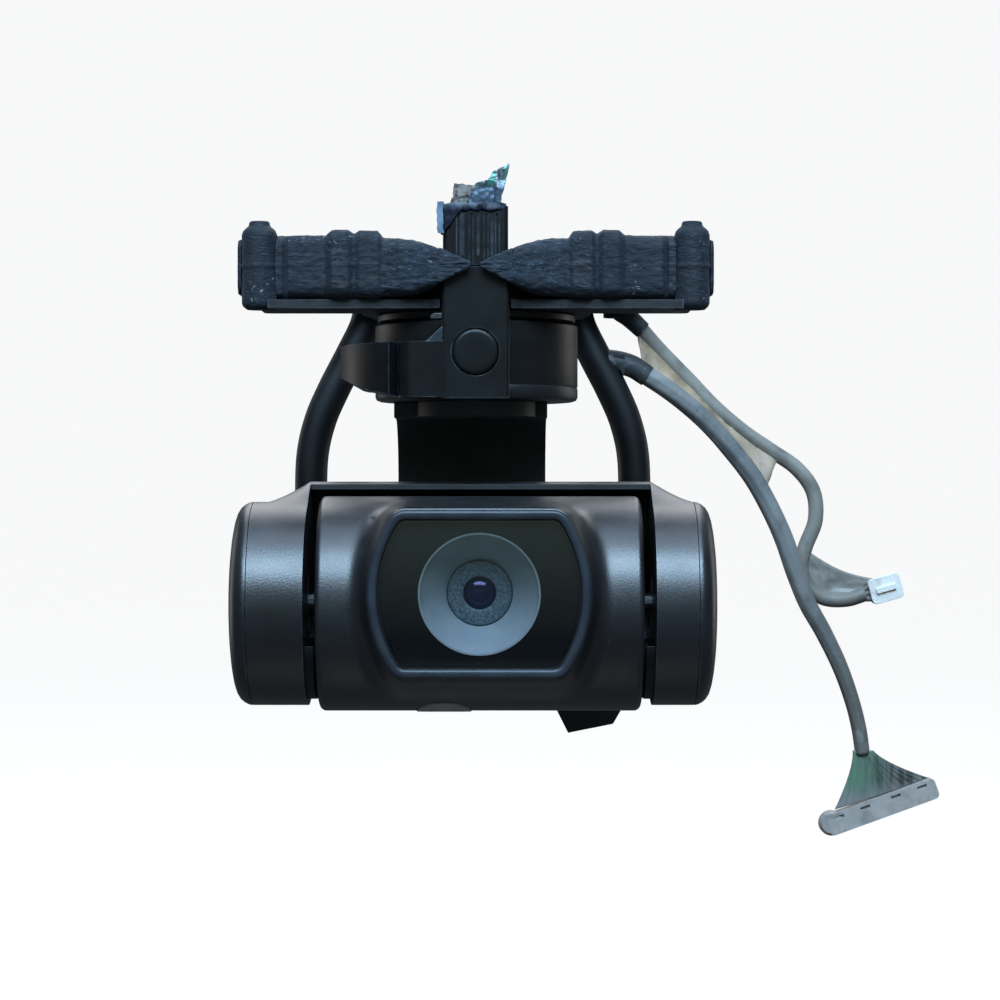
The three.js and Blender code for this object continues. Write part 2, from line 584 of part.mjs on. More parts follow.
// A sleeve from its pointed inner end, past two bands, to its square outer end.
function sleeve(side) {
  const low = SLEEVE_LOW;
  const stations = [
    [0.4, { front: -10.85, back: -10.35, top: -2.65, bottom: -3.05 }],
    [1.5, { front: -10.9, back: -10.15, top: -2.1, bottom: -3.6 }],
    [2.9, { front: -10.8, back: -10.15, top: -1.5, bottom: -4.3 }],
    [3.15, { front: -10.75, back: -4, top: -1.4, bottom: -4.4 }],
    [5, { front: -10.2, back: -2.4, top: -0.75, bottom: -5.1 }],
    [7.4, { front: -9.5, back: -2.2, top: -0.55, bottom: -5.25 }],
    [7.8, { front: -9.7, back: -2, top: 0, bottom: low }],
    [9.3, { front: -9.7, back: -2, top: 0.05, bottom: low }],
    [9.8, { front: -9.3, back: -2.1, top: -0.15, bottom: low }],
    [10.2, { front: -9.7, back: -2, top: 0.1, bottom: low }],
    [11.5, { front: -9.6, back: -2, top: 0.05, bottom: low }],
    [12, { front: -9.1, back: -2.2, top: -0.3, bottom: low }],
    [15, { front: -9, back: -2.2, top: -0.3, bottom: low }],
    [15.3, { front: -8.1, back: -2.2, top: -0.3, bottom: low }],
    [18.2, { front: -8.1, back: -2.2, top: -0.3, bottom: low }],
    [19.1, { front: -7.6, back: -2.6, top: -0.6, bottom: low + 0.5 }],
  ];
  const body = skin(stations.map(([x, size]) => sleeveRing(x * side, size)));
  const span = (a, b) => [a * side, b * side].sort((p, q) => p - q);
  const [s0, s1] = span(2, 18.85);
  const [w0, w1] = span(2, 15.2);
  return cut(
    body,
    block([s0, -5.6, PLATE.bottom - 0.1], [s1, -2.8, PLATE.top + 0.1]),
    block([w0, -8.3, PLATE.bottom - 0.1], [w1, -2.8, PLATE.top + 0.1]),
    disc("z", 1.52, -7, 3, 16).translate([side * FRONT_POST.x, FRONT_POST.y, 0]),
    disc("z", 9.5, PLATE.bottom - 0.1, PLATE.top + 0.1, FINE),
    disc("z", 7.75, -6, PLATE.top + 0.65, FINE),
  );
}

function addSleevesAndPosts() {
  const head = [[1.15, 0.3], [0.85, 0.6], [0.85, POST_TOP], [0, POST_TOP]];
  for (const [name, side] of [["left", -1], ["right", 1]]) {
    node(gimbal, `${name}_damper_sleeve`, sleeve(side), MATERIALS.rubber);
    const frontPost = turned("z", [[0, -6.2], [1, -6.2], [1.42, -5.7], [1.42, -0.1], ...head], 16);
    node(gimbal, `front_${name}_damper`, frontPost.translate([side * FRONT_POST.x, FRONT_POST.y, 0]),
      MATERIALS.rubber);
    const spool = turned("z", [[0, -5.5], [1.3, -5.5], [1.55, -4.4], [1, -3.5], [1, -1.3], [1.65, -0.8],
      [1.45, 0.1], ...head], 16);
    node(gimbal, `rear_${name}_damper`, spool.translate([side * REAR_POST.x, REAR_POST.y, 0]),
      MATERIALS.rubber);
  }
}

// The front post: a hollow tower for the flat cable, over the motor's bracket.
function addFrontPost() {
  const rise = 1.9;
  const tower = cut(
    block([-POST_X + 0.1, POST_Y, -2.8], [POST_X - 0.1, -6.6, rise]),
    block([-1.9, -9.2, -1.8], [1.9, -7.3, rise + 1]),
    ...[-1.5, -0.5, 0.7].map((x) => block([x, POST_Y - 1, -4], [x + 0.3, POST_Y + 0.12, rise - 0.5])),
  );
  node(gimbal, "cable_tower", tower, MATERIALS.plastic);
  const stub = polygon([[-1.5, -1.6], [1.5, -1.6], [1.8, 2.2], [2.5, 5.1], [1.7, 5.2], [0.2, 4.1], [-1.6, 3.4]]);
  node(gimbal, "flex_stub", extruded("y", stub, -8.4, -8.1), MATERIALS.flex);
  const wrap = joined(
    cut(
      block([-POST_X - 0.2, POST_Y - 0.3, 0.9], [POST_X + 0.1, -6.3, rise + 0.25]),
      block([-POST_X + 0.05, POST_Y - 0.05, 0], [POST_X - 0.05, -6.55, rise + 1]),
    ),
    block([-POST_X - 0.65, -9.3, -0.3], [-POST_X - 0.1, -7.4, rise - 0.1]),
  );
  node(gimbal, "foil_tape", wrap, MATERIALS.foil);

  const inner = CAN_R + 0.45;
  const depth = { front: POST_Y, back: -inner };
  const bar = joined(
    block([-POST_X, depth.front, -13.4], [POST_X, depth.back, -2.9]),
    block([-POST_X, depth.front, -5], [POST_X, -8.2, -2.9]),
  );
  const corner = new THREE.Shape()
    .moveTo(0, POST_Y)
    .lineTo(-5, POST_Y)
    .absarc(-5, POST_Y + 1.2, 1.2, -Math.PI / 2, -Math.PI, true)
    .lineTo(-6.2, -6.2)
    .lineTo(0, -6.2);
  const wing = new THREE.Shape()
    .absarc(0, 0, WING_R, Math.PI, Math.PI * 1.29, false)
    .absarc(0, 0, inner, Math.PI * 1.29, Math.PI, true);
  const stop = { curveSegments: 6 };
  const wingCut = extruded("y", polygon([[-12, -11], [-12, -14], [-6.2, -14], [-6.2, -13.3], [-9.4, -12.45]]),
    2, -12);
  const bracket = joined(
    bar,
    cut(extruded("z", corner, -13.3, WING_TOP, stop), disc("z", inner, -20, 0, FINE)),
    cut(extruded("z", wing, -13.3, WING_TOP, stop), wingCut),
  );
  const pocket = disc("y", PLUG.r + 0.1, POST_Y - 1, POST_Y + 0.5).translate([0, 0, PLUG.z]);
  node(gimbal, "yaw_bracket", cut(bracket, pocket), MATERIALS.bracket);
  const plug = turned("y", [[0, POST_Y - 0.12], [PLUG.r - 0.2, POST_Y - 0.12], [PLUG.r, POST_Y],
    [PLUG.r, POST_Y + 0.45], [0, POST_Y + 0.45]]);
  node(gimbal, "bracket_plug", plug.translate([0, 0, PLUG.z]), MATERIALS.bracket);
}

// Points of a route in a plane of constant Y, from [x, z] pairs.
const route = (y, points) => points.map(([x, z]) => new THREE.Vector3(x, y, z));

// The bent rod that guards the rear, its foot and the holders of the two cables.
function addGuardHoop() {
  const half = [[9.2, -3.7], [9.6, -5.8], [10.8, -8.3], [12.5, -11.6], [13.7, -14.4], [14.4, -17.6],
    [14.5, -22], [14.3, -27], [13, -31.6], [9.8, -35.4], [6, -37.5], [2.2, -38.2]];
  const [left, right] = [-1, 1].map((side) => half.map(([x, z]) => [HOOP_X + side * x, z]));
  const line = route(HOOP_Y, [...left, ...right.reverse()]);
  node(gimbal, "guard_hoop", tube(line, HOOP_R, 8, 36), MATERIALS.plastic);
  const room = tube(line, HOOP_R + 0.3, 8, 36);

  const foot = polygon([[6.6, -35.8], [12.5, -34.6], [12.75, -40.1], [12, -41.4], [8, -42.2], [6.8, -39.8]]);
  node(gimbal, "hoop_foot", cut(extruded("y", foot, 15.5, 20.5, { bevel: 0.4 }), room), MATERIALS.rubber);
  const clip = block([10.2, 17, -10.3], [13.1, 20.3, -8.5]);
  node(gimbal, "cable_clip", cut(clip, room), MATERIALS.plastic);
  const gland = joined(
    block([10.9, 17.2, -4.6], [13.9, 20.1, PLATE.bottom - GAP]),
    ring("z", MOTOR_R - 0.1, 1.15, -5.1, -4.4, 20).translate([12.4, 18.6, 0]),
  );
  node(gimbal, "cable_gland", gland, MATERIALS.rubber);
}

// The two free cables that hang from the rear, with their plugs.
function addCables() {
  const signal = [[13.4, 18, -9.3], [15, 18, -9.75], [17.2, 18, -11.1], [19.9, 18, -13.4], [22.6, 18, -16.3],
    [24.9, 18, -19.7], [26.6, 18, -23.3], [27.9, 18, -26.6], [28.9, 18, -29.7], [30.1, 18, -32.3],
    [31.4, 18, -34.7], [32.7, 18, -37.1], [33.6, 18, -39.6], [34.2, 18, -42.1], [34.5, 18, -44.3]];
  const motor = [[12.4, 18.6, -5.4], [13.2, 18.8, -6.7], [15.4, 19.6, -8.4], [19.1, 20, -11.4], [22.7, 20, -14.6],
    [25.5, 20, -16.7], [28.1, 20, -18.2], [29.9, 20, -19.7], [30.7, 20, -21.6], [30.4, 20, -23.8],
    [29.5, 20, -25.8], [29.2, 20, -27.6], [29.8, 20, -29.3], [31.3, 20, -30.4], [33.3, 20, -30.5], [35, 20, -30]];
  const points = (list) => list.map((p) => new THREE.Vector3(...p));
  node(gimbal, "signal_cable", tube(points(signal), SIGNAL_R, 8, 22), MATERIALS.cable);
  node(gimbal, "motor_cable", tube(points(motor), MOTOR_R, 8, 30), MATERIALS.cable);

  const tilt = THREE.MathUtils.degToRad(-20); // the right end of the wide plug is higher
  const housing = new THREE.BoxGeometry(10.4, 1.5, 1.9).rotateY(tilt).translate(36.2, 18, -49);
  const fan = polygon([[33.7, -44.7], [35.5, -44.7], [40.2, -47], [32.2, -49.8]]);
  const plug = joined(solid(housing), extruded("y", fan, 17.5, 18.5));
  node(gimbal, "signal_plug", plug, MATERIALS.plug);
  const small = new THREE.BoxGeometry(2.9, 1.5, 2.3).rotateY(THREE.MathUtils.degToRad(-16));
  node(gimbal, "motor_plug", solid(small.translate(36.8, 20, -29.5)), MATERIALS.plug);
}

addCamera();
addRollFrame();
addYawArm();
addDamperPlate(addYawMotorBase());
addSleevesAndPosts();
addFrontPost();
addGuardHoop();
addCables();

export default gimbal;
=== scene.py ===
"""Looks of a three-axis camera gimbal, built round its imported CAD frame.

Shapes are written in millimetres, in the row frame: +Z up, the lens looks along -Y,
and the origin is on the yaw axis, on top of the damper plate's boss.
"""
import json
import math

import bmesh
import bpy
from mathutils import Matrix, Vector, noise


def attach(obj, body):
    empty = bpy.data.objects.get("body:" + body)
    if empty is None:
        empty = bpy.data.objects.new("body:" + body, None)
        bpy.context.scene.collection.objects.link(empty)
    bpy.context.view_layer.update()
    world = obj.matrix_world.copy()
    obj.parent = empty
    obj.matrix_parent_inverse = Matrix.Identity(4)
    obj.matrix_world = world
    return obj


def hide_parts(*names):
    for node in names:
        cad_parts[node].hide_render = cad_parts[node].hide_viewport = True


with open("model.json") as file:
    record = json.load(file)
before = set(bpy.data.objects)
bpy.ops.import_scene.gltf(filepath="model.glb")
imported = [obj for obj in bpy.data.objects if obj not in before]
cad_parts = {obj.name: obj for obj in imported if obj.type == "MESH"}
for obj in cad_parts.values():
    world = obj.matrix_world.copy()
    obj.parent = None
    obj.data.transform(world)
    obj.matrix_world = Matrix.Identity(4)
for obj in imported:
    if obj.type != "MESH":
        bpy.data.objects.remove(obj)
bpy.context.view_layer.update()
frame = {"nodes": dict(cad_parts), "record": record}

MM = 0.001
TAU = 2 * math.pi

# ---------------------------------------------------------------- dimensions, the same as in part.mjs

CAMERA_X = 0.35
TILT_Y, TILT_Z = -5.0, -29.9
END_LEFT, END_RIGHT, COVER = 19.85, 18.75, 1.5
DRUM_R, DRUM_IN, DRUM_WALL = 8.25, 13.9, 0.9
BAND_IN, BAND_OUT, SHOULDER_X, SEAT_Y = 9.4, 10.8, 14.0, 11.6
POD_R, POD_X, POD_WALL, POD_SPLIT = 8.7, 12.95, 1.1, 1.0
WINDOW_W, WINDOW_H, WINDOW_SIDE, WINDOW_CORNER, WINDOW_Z = 17.4, 13.1, 10.9, 1.6, 1.1
BEZEL, BEZEL_Y, BOSS_Y = 0.8, -11.5, -10.6
MOUTH_R, BARREL_R, PUPIL_R, THROAT_Y = 4.6, 2.55, 1.3, -7.2
CAN_R, CAN_TOP, CAN_BOTTOM = 8.4, -7.05, -13.35
POST_X, POST_Y = 2.7, -9.9
WING_R, WING_TOP, PLUG_R, PLUG_Z = 11.3, -8.85, 1.83, -9.7
PLATE_TOP, PLATE_BOTTOM = -1.4, -3.4
FRONT_POST = (17.4, -7.3)
REAR_POST = (8.1, 14.6)
POST_TOP, SLEEVE_LOW = 0.9, -5.37
ARM_FRONT, ARM_BACK = 10.8, 12.4
HUB = (0, 0, TILT_Z)
SCREWS = [(6.5 * math.cos(a), 6.5 * math.sin(a), 0) for a in [math.pi / 2 + TAU * i / 3 for i in range(3)]]
HOOP_Y, HOOP_R, HOOP_X = 18.0, 1.45, -0.5
SIGNAL_R, MOTOR_R = 0.95, 0.7
GAP = 0.05
SIDES = (("left", -1), ("right", 1))

EYE = Vector((1.95, -225.0, -21.5))  # where the viewer stands, about level with the top of the drums
LENS = 97.4

# ---------------------------------------------------------------- camera

camera_data = bpy.data.cameras.new("view")
camera_data.lens = LENS
camera_data.sensor_width = 36
camera_data.clip_start = 0.01
camera = bpy.data.objects.new("view", camera_data)
camera.location = EYE * MM
camera.rotation_euler = (math.pi / 2, 0, 0)
bpy.context.scene.collection.objects.link(camera)
bpy.context.scene.camera = camera
bpy.context.scene.view_settings.view_transform = "Standard"

# ---------------------------------------------------------------- making meshes


def smoothed(piece):
    """Smooth shading, but for flat faces with many corners."""
    piece.data.shade_smooth()
    for face in piece.data.polygons:
        face.use_smooth = len(face.vertices) < 9
    return piece


def made(name, points, faces):
    """A smooth-shaded mesh object from points in millimetres."""
    mesh = bpy.data.meshes.new(name)
    mesh.from_pydata([[c * MM for c in p] for p in points], [], faces)
    work = bmesh.new()
    work.from_mesh(mesh)
    bmesh.ops.remove_doubles(work, verts=work.verts, dist=2e-7)
    bmesh.ops.recalc_face_normals(work, faces=work.faces)
    work.to_mesh(mesh)
    work.free()
    piece = bpy.data.objects.new(name, mesh)
    bpy.context.scene.collection.objects.link(piece)
    return smoothed(piece)


def loft(name, rings, ends="caps"):
    """A body through rings of points. Its ends get caps, or the last ring joins the first."""
    n = len(rings[0])
    points = [p for ring in rings for p in ring]
    faces = []
    last = len(rings) if ends == "loop" else len(rings) - 1
    for r in range(last):
        a, b = r * n, ((r + 1) % len(rings)) * n
        for i in range(n):
            j = (i + 1) % n
            faces.append((a + i, a + j, b + j, b + i))
    if ends == "caps":
        faces.append(tuple(range(n))[::-1])
        faces.append(tuple(range((len(rings) - 1) * n, len(rings) * n)))
    return made(name, points, faces)


TURN = {
    "x": lambda r, a, h: (h, r * math.cos(a), r * math.sin(a)),
    "y": lambda r, a, h: (r * math.cos(a), h, r * math.sin(a)),
    "z": lambda r, a, h: (r * math.cos(a), r * math.sin(a), h),
}


def moved(points, by):
    return [tuple(p[k] + by[k] for k in range(3)) for p in points]


def lathe(name, axis, profile, at=(0, 0, 0), turns=128):
    """A body turned about an axis from a closed profile of (radius, height) corners."""
    rings = [moved([TURN[axis](r, TAU * i / turns, h) for r, h in profile], at) for i in range(turns)]
    n = len(profile)
    points = [p for ring in rings for p in ring]
    faces = []
    for i in range(turns):
        a, b = i * n, ((i + 1) % turns) * n
        for k in range(n):
            m = (k + 1) % n
            faces.append((a + k, a + m, b + m, b + k))
    return made(name, points, faces)


def disc(name, axis, r, low, high, at=(0, 0, 0), turns=64):
    return lathe(name, axis, [(0, low), (r, low), (r, high), (0, high)], at, turns)


SIDE = {
    "y": lambda u, v, d: (u, d, v),
    "x": lambda u, v, d: (d, u, v),
    "z": lambda u, v, d: (u, v, d),
}


def prism(name, axis, outline, low, high, at=(0, 0, 0)):
    """An outline carried along an axis: (X, Z) along y, (Y, Z) along x, (X, Y) along z."""
    return loft(name, [moved([SIDE[axis](u, v, d) for u, v in outline], at) for d in (low, high)])


def box(name, low, high, at=(0, 0, 0)):
    (x0, y0, z0), (x1, y1, z1) = low, high
    return prism(name, "z", [(x0, y0), (x1, y0), (x1, y1), (x0, y1)], z0, z1, at)


def arc(cx, cy, r, start, end, steps):
    """Points of an arc, angles in degrees."""
    turn = [math.radians(start + (end - start) * i / steps) for i in range(steps + 1)]
    return [(cx + r * math.cos(a), cy + r * math.sin(a)) for a in turn]


def rounded(x0, y0, x1, y1, r, steps=6):
    """A rectangle's outline with round corners."""
    corners = [(x1 - r, y1 - r, 0), (x0 + r, y1 - r, 90), (x0 + r, y0 + r, 180), (x1 - r, y0 + r, 270)]
    return [p for cx, cy, a in corners for p in arc(cx, cy, r, a, a + 90, steps)]


def settle(piece):
    """Applies the piece's modifiers."""
    graph = bpy.context.evaluated_depsgraph_get()
    mesh = bpy.data.meshes.new_from_object(piece.evaluated_get(graph), depsgraph=graph)
    piece.modifiers.clear()
    piece.data = mesh
    return piece


def combined(piece, operation, tools):
    for tool in tools:
        change = piece.modifiers.new("change", "BOOLEAN")
        change.operation = operation
        change.solver = "MANIFOLD"
        change.object = tool
    settle(piece)
    for tool in tools:
        bpy.data.objects.remove(tool)
    return smoothed(piece)


def cut(piece, *tools):
    return combined(piece, "DIFFERENCE", tools)


def add(piece, *tools):
    return combined(piece, "UNION", tools)


def merged(name, pieces):
    """Several meshes as one object, without joining their surfaces."""
    work = bmesh.new()
    for piece in pieces:
        work.from_mesh(piece.data)
    mesh = bpy.data.meshes.new(name)
    work.to_mesh(mesh)
    work.free()
    for piece in pieces:
        bpy.data.objects.remove(piece)
    result = bpy.data.objects.new(name, mesh)
    bpy.context.scene.collection.objects.link(result)
    return smoothed(result)


def soft_edges(piece, width, segments=2, angle=30):
    """Rounds a piece's sharp edges, width in millimetres."""
    edge = piece.modifiers.new("edge", "BEVEL")
    edge.width = width * MM
    edge.segments = segments
    edge.limit_method = "ANGLE"
    edge.angle_limit = math.radians(angle)
    edge.harden_normals = True
    edge.use_clamp_overlap = True
    return piece


def creased(piece, angle):
    """Smooth faces, with a crisp line where they meet at more than this angle."""
    piece.data.set_sharp_from_angle(angle=math.radians(angle))
    return piece


def dress(piece, body, slot, material, *replaced):
    """Gives a piece its material and its body, and hides the CAD nodes that it stands for."""
    piece.data.materials.clear()
    piece.data.materials.append(material)
    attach(piece, body)
    if replaced:
        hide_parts(*replaced)
    return piece


def ease(x, low, high):
    """0 up to low, 1 from high on, with a smooth rise between."""
    t = min(1.0, max(0.0, (x - low) / (high - low)))
    return t * t * (3 - 2 * t)


def smooth_line(points, per_span):
    """A Catmull-Rom line through the points."""
    p = [Vector(q) for q in points]
    p = [2 * p[0] - p[1]] + p + [2 * p[-1] - p[-2]]
    line = []
    for i in range(1, len(p) - 2):
        for s in range(per_span):
            t = s / per_span
            a, b, c, d = p[i - 1], p[i], p[i + 1], p[i + 2]
            sum_so_far = 2 * b + (c - a) * t + (2 * a - 5 * b + 4 * c - d) * t**2
            line.append(0.5 * (sum_so_far + (3 * b - a - 3 * c + d) * t**3))
    line.append(p[-2])
    return line


def sweep(name, line, radius, sides=24, strands=0, twist=0.0):
    """A tube along a line. With strands it has that many twisted ridges. radius may be a function of 0..1."""
    size = radius if callable(radius) else (lambda t: radius)
    rings = []
    normal = None
    for i, point in enumerate(line):
        ahead = (line[min(i + 1, len(line) - 1)] - line[max(i - 1, 0)]).normalized()
        if normal is None:
            normal = ahead.orthogonal().normalized()
        normal = (normal - ahead * normal.dot(ahead)).normalized()
        other = ahead.cross(normal)
        t = i / (len(line) - 1)
        ring = []
        for k in range(sides):
            a = TAU * k / sides
            r = size(t) * (1 + (0.07 * abs(math.sin(strands / 2 * (a + twist * t))) - 0.07 if strands else 0))
            ring.append(point + normal * (r * math.cos(a)) + other * (r * math.sin(a)))
        rings.append(ring)
    return loft(name, rings)


# ---------------------------------------------------------------- materials


class Shade:
    """A material round one Principled shader, with short ways to add nodes."""

    def __init__(self, name):
        self.material = bpy.data.materials.new(name)
        self.material.use_nodes = True
        self.tree = self.material.node_tree
        self.tree.nodes.clear()
        self.shader = self.add("ShaderNodeBsdfPrincipled")
        self.link(self.shader.outputs[0], self.add("ShaderNodeOutputMaterial").inputs[0])
        self.place = self.add("ShaderNodeTexCoord")
        self.surface = self.add("ShaderNodeNewGeometry")

    def add(self, kind, **settings):
        node = self.tree.nodes.new(kind)
        for key, value in settings.items():
            setattr(node, key, value)
        return node

    def link(self, source, target):
        self.tree.links.new(source, target)

    def where(self, stretch, turn=(0, 0, 0)):
        node = self.add("ShaderNodeMapping")
        node.inputs["Scale"].default_value = stretch
        node.inputs["Rotation"].default_value = turn
        self.link(self.place.outputs["Object"], node.inputs["Vector"])
        return node.outputs[0]

    def noise(self, scale, detail=3.0, stretch=(1, 1, 1), turn=(0, 0, 0), warp=0.0):
        node = self.add("ShaderNodeTexNoise")
        node.inputs["Scale"].default_value = scale
        node.inputs["Detail"].default_value = detail
        node.inputs["Distortion"].default_value = warp
        self.link(self.where(stretch, turn), node.inputs["Vector"])
        return node.outputs[0]

    def cells(self, scale):
        node = self.add("ShaderNodeTexVoronoi")
        node.inputs["Scale"].default_value = scale
        self.link(self.where((1, 1, 1)), node.inputs["Vector"])
        return node.outputs[0]

    def spread(self, value, low, high, to=(0.0, 1.0)):
        node = self.add("ShaderNodeMapRange")
        for slot, number in zip((1, 2, 3, 4), (low, high, *to)):
            node.inputs[slot].default_value = number
        self.link(value, node.inputs[0])
        return node.outputs[0]

    def math(self, operation, a, b):
        node = self.add("ShaderNodeMath", operation=operation, use_clamp=True)
        for slot, value in enumerate((a, b)):
            if isinstance(value, (int, float)):
                node.inputs[slot].default_value = value
            else:
                self.link(value, node.inputs[slot])
        return node.outputs[0]

    def mix(self, share, a, b):
        node = self.add("ShaderNodeMix", data_type="RGBA")
        for slot, value in ((0, share), (6, a), (7, b)):
            if isinstance(value, tuple):
                node.inputs[slot].default_value = (*value, 1)
            elif isinstance(value, (int, float)):
                node.inputs[slot].default_value = value
            else:
                self.link(value, node.inputs[slot])
        return node.outputs[2]

    def facing_up(self):
        """0 on steep faces, rising to 1 on faces that look straight up."""
        split = self.add("ShaderNodeSeparateXYZ")
        self.link(self.place.outputs["Normal"], split.inputs[0])
        return self.spread(split.outputs[2], 0.2, 0.95)

    def along(self, axis, low, high):
        """0 to 1 between two places along an axis, in millimetres."""
        split = self.add("ShaderNodeSeparateXYZ")
        self.link(self.place.outputs["Object"], split.inputs[0])
        return self.spread(split.outputs[axis], low * MM, high * MM)

    def edges(self, radius, low=0.02, high=0.12):
        """1 on sharp outer and inner edges, 0 a radius (in millimetres) away from them."""
        soft = self.add("ShaderNodeBevel", samples=4)
        soft.inputs["Radius"].default_value = radius * MM
        same = self.add("ShaderNodeVectorMath", operation="DOT_PRODUCT")
        self.link(soft.outputs[0], same.inputs[0])
        self.link(self.surface.outputs["Normal"], same.inputs[1])
        return self.spread(same.outputs["Value"], 1 - low, 1 - high)

    def bump(self, height, strength, depth, under=None):
        node = self.add("ShaderNodeBump")
        node.inputs["Strength"].default_value = strength
        node.inputs["Distance"].default_value = depth * MM
        self.link(height, node.inputs["Height"])
        if under is not None:
            self.link(under, node.inputs["Normal"])
        return node.outputs[0]

    def set(self, **values):
        for key, value in values.items():
            slot = self.shader.inputs[key.replace("_", " ")]
            if isinstance(value, tuple):
                slot.default_value = (*value, 1)
            elif isinstance(value, (int, float)):
                slot.default_value = value
            else:
                self.link(value, slot)
        return self.material


SPECK_COLOR = (0.35, 0.38, 0.4)
DUST_COLOR = (0.16, 0.18, 0.2)


def finish(
    name,
    dark,
    light,
    rough=(0.38, 0.5),
    metal=0.0,
    patch=260,
    grain=(7000, 0.2, 0.006),
    specks=0.0,
    dust=0.0,
    wear_and_highlight=0.0,
    wear_and_highlight_color=(0.2, 0.24, 0.3),
    stretch=(1, 1, 1),
    **fixed,
):
    """The finish that most parts share: patchy colour, fine grain, dust on top, specks and pale edges: wear,
    and on the bezel a painted highlight too.

    grain is (scale, strength, depth in mm) of the bump.
    """
    s = Shade(name)
    tone = s.noise(patch, 5, stretch)
    color = s.mix(s.spread(tone, 0.32, 0.68), dark, light)
    fine = s.noise(grain[0], 2, stretch)
    uneven = s.math("ADD", s.math("MULTIPLY", tone, 0.6), s.math("MULTIPLY", fine, 0.4))
    roughness = s.spread(uneven, 0.35, 0.65, rough)
    # Pale edges: wear on most parts; on the bezel, with its full amount and pale colour, also a painted
    # highlight.
    if wear_and_highlight:
        pale_marks = s.math("MULTIPLY", s.edges(0.14), s.spread(s.noise(900, 3), 0.4, 0.62, (0.15 * wear_and_highlight, wear_and_highlight)))
        color = s.mix(pale_marks, color, wear_and_highlight_color)
    if dust:
        cloud = s.spread(s.noise(620, 6, warp=0.6), 0.42, 0.7)
        share = s.math("MULTIPLY", s.math("MULTIPLY", cloud, s.facing_up()), dust)
        color = s.mix(share, color, DUST_COLOR)
        roughness = s.math("ADD", roughness, s.math("MULTIPLY", share, 0.3))
    if specks:
        dots = s.spread(s.cells(420), 0.05 * specks, 0.03 * specks)
        dots = s.math("MULTIPLY", dots, s.spread(s.noise(150, 2), 0.52, 0.6))
        color = s.mix(dots, color, SPECK_COLOR)
    normal = s.bump(fine, grain[1], grain[2])
    return s.set(Base_Color=color, Roughness=roughness, Normal=normal, Metallic=metal, **fixed)


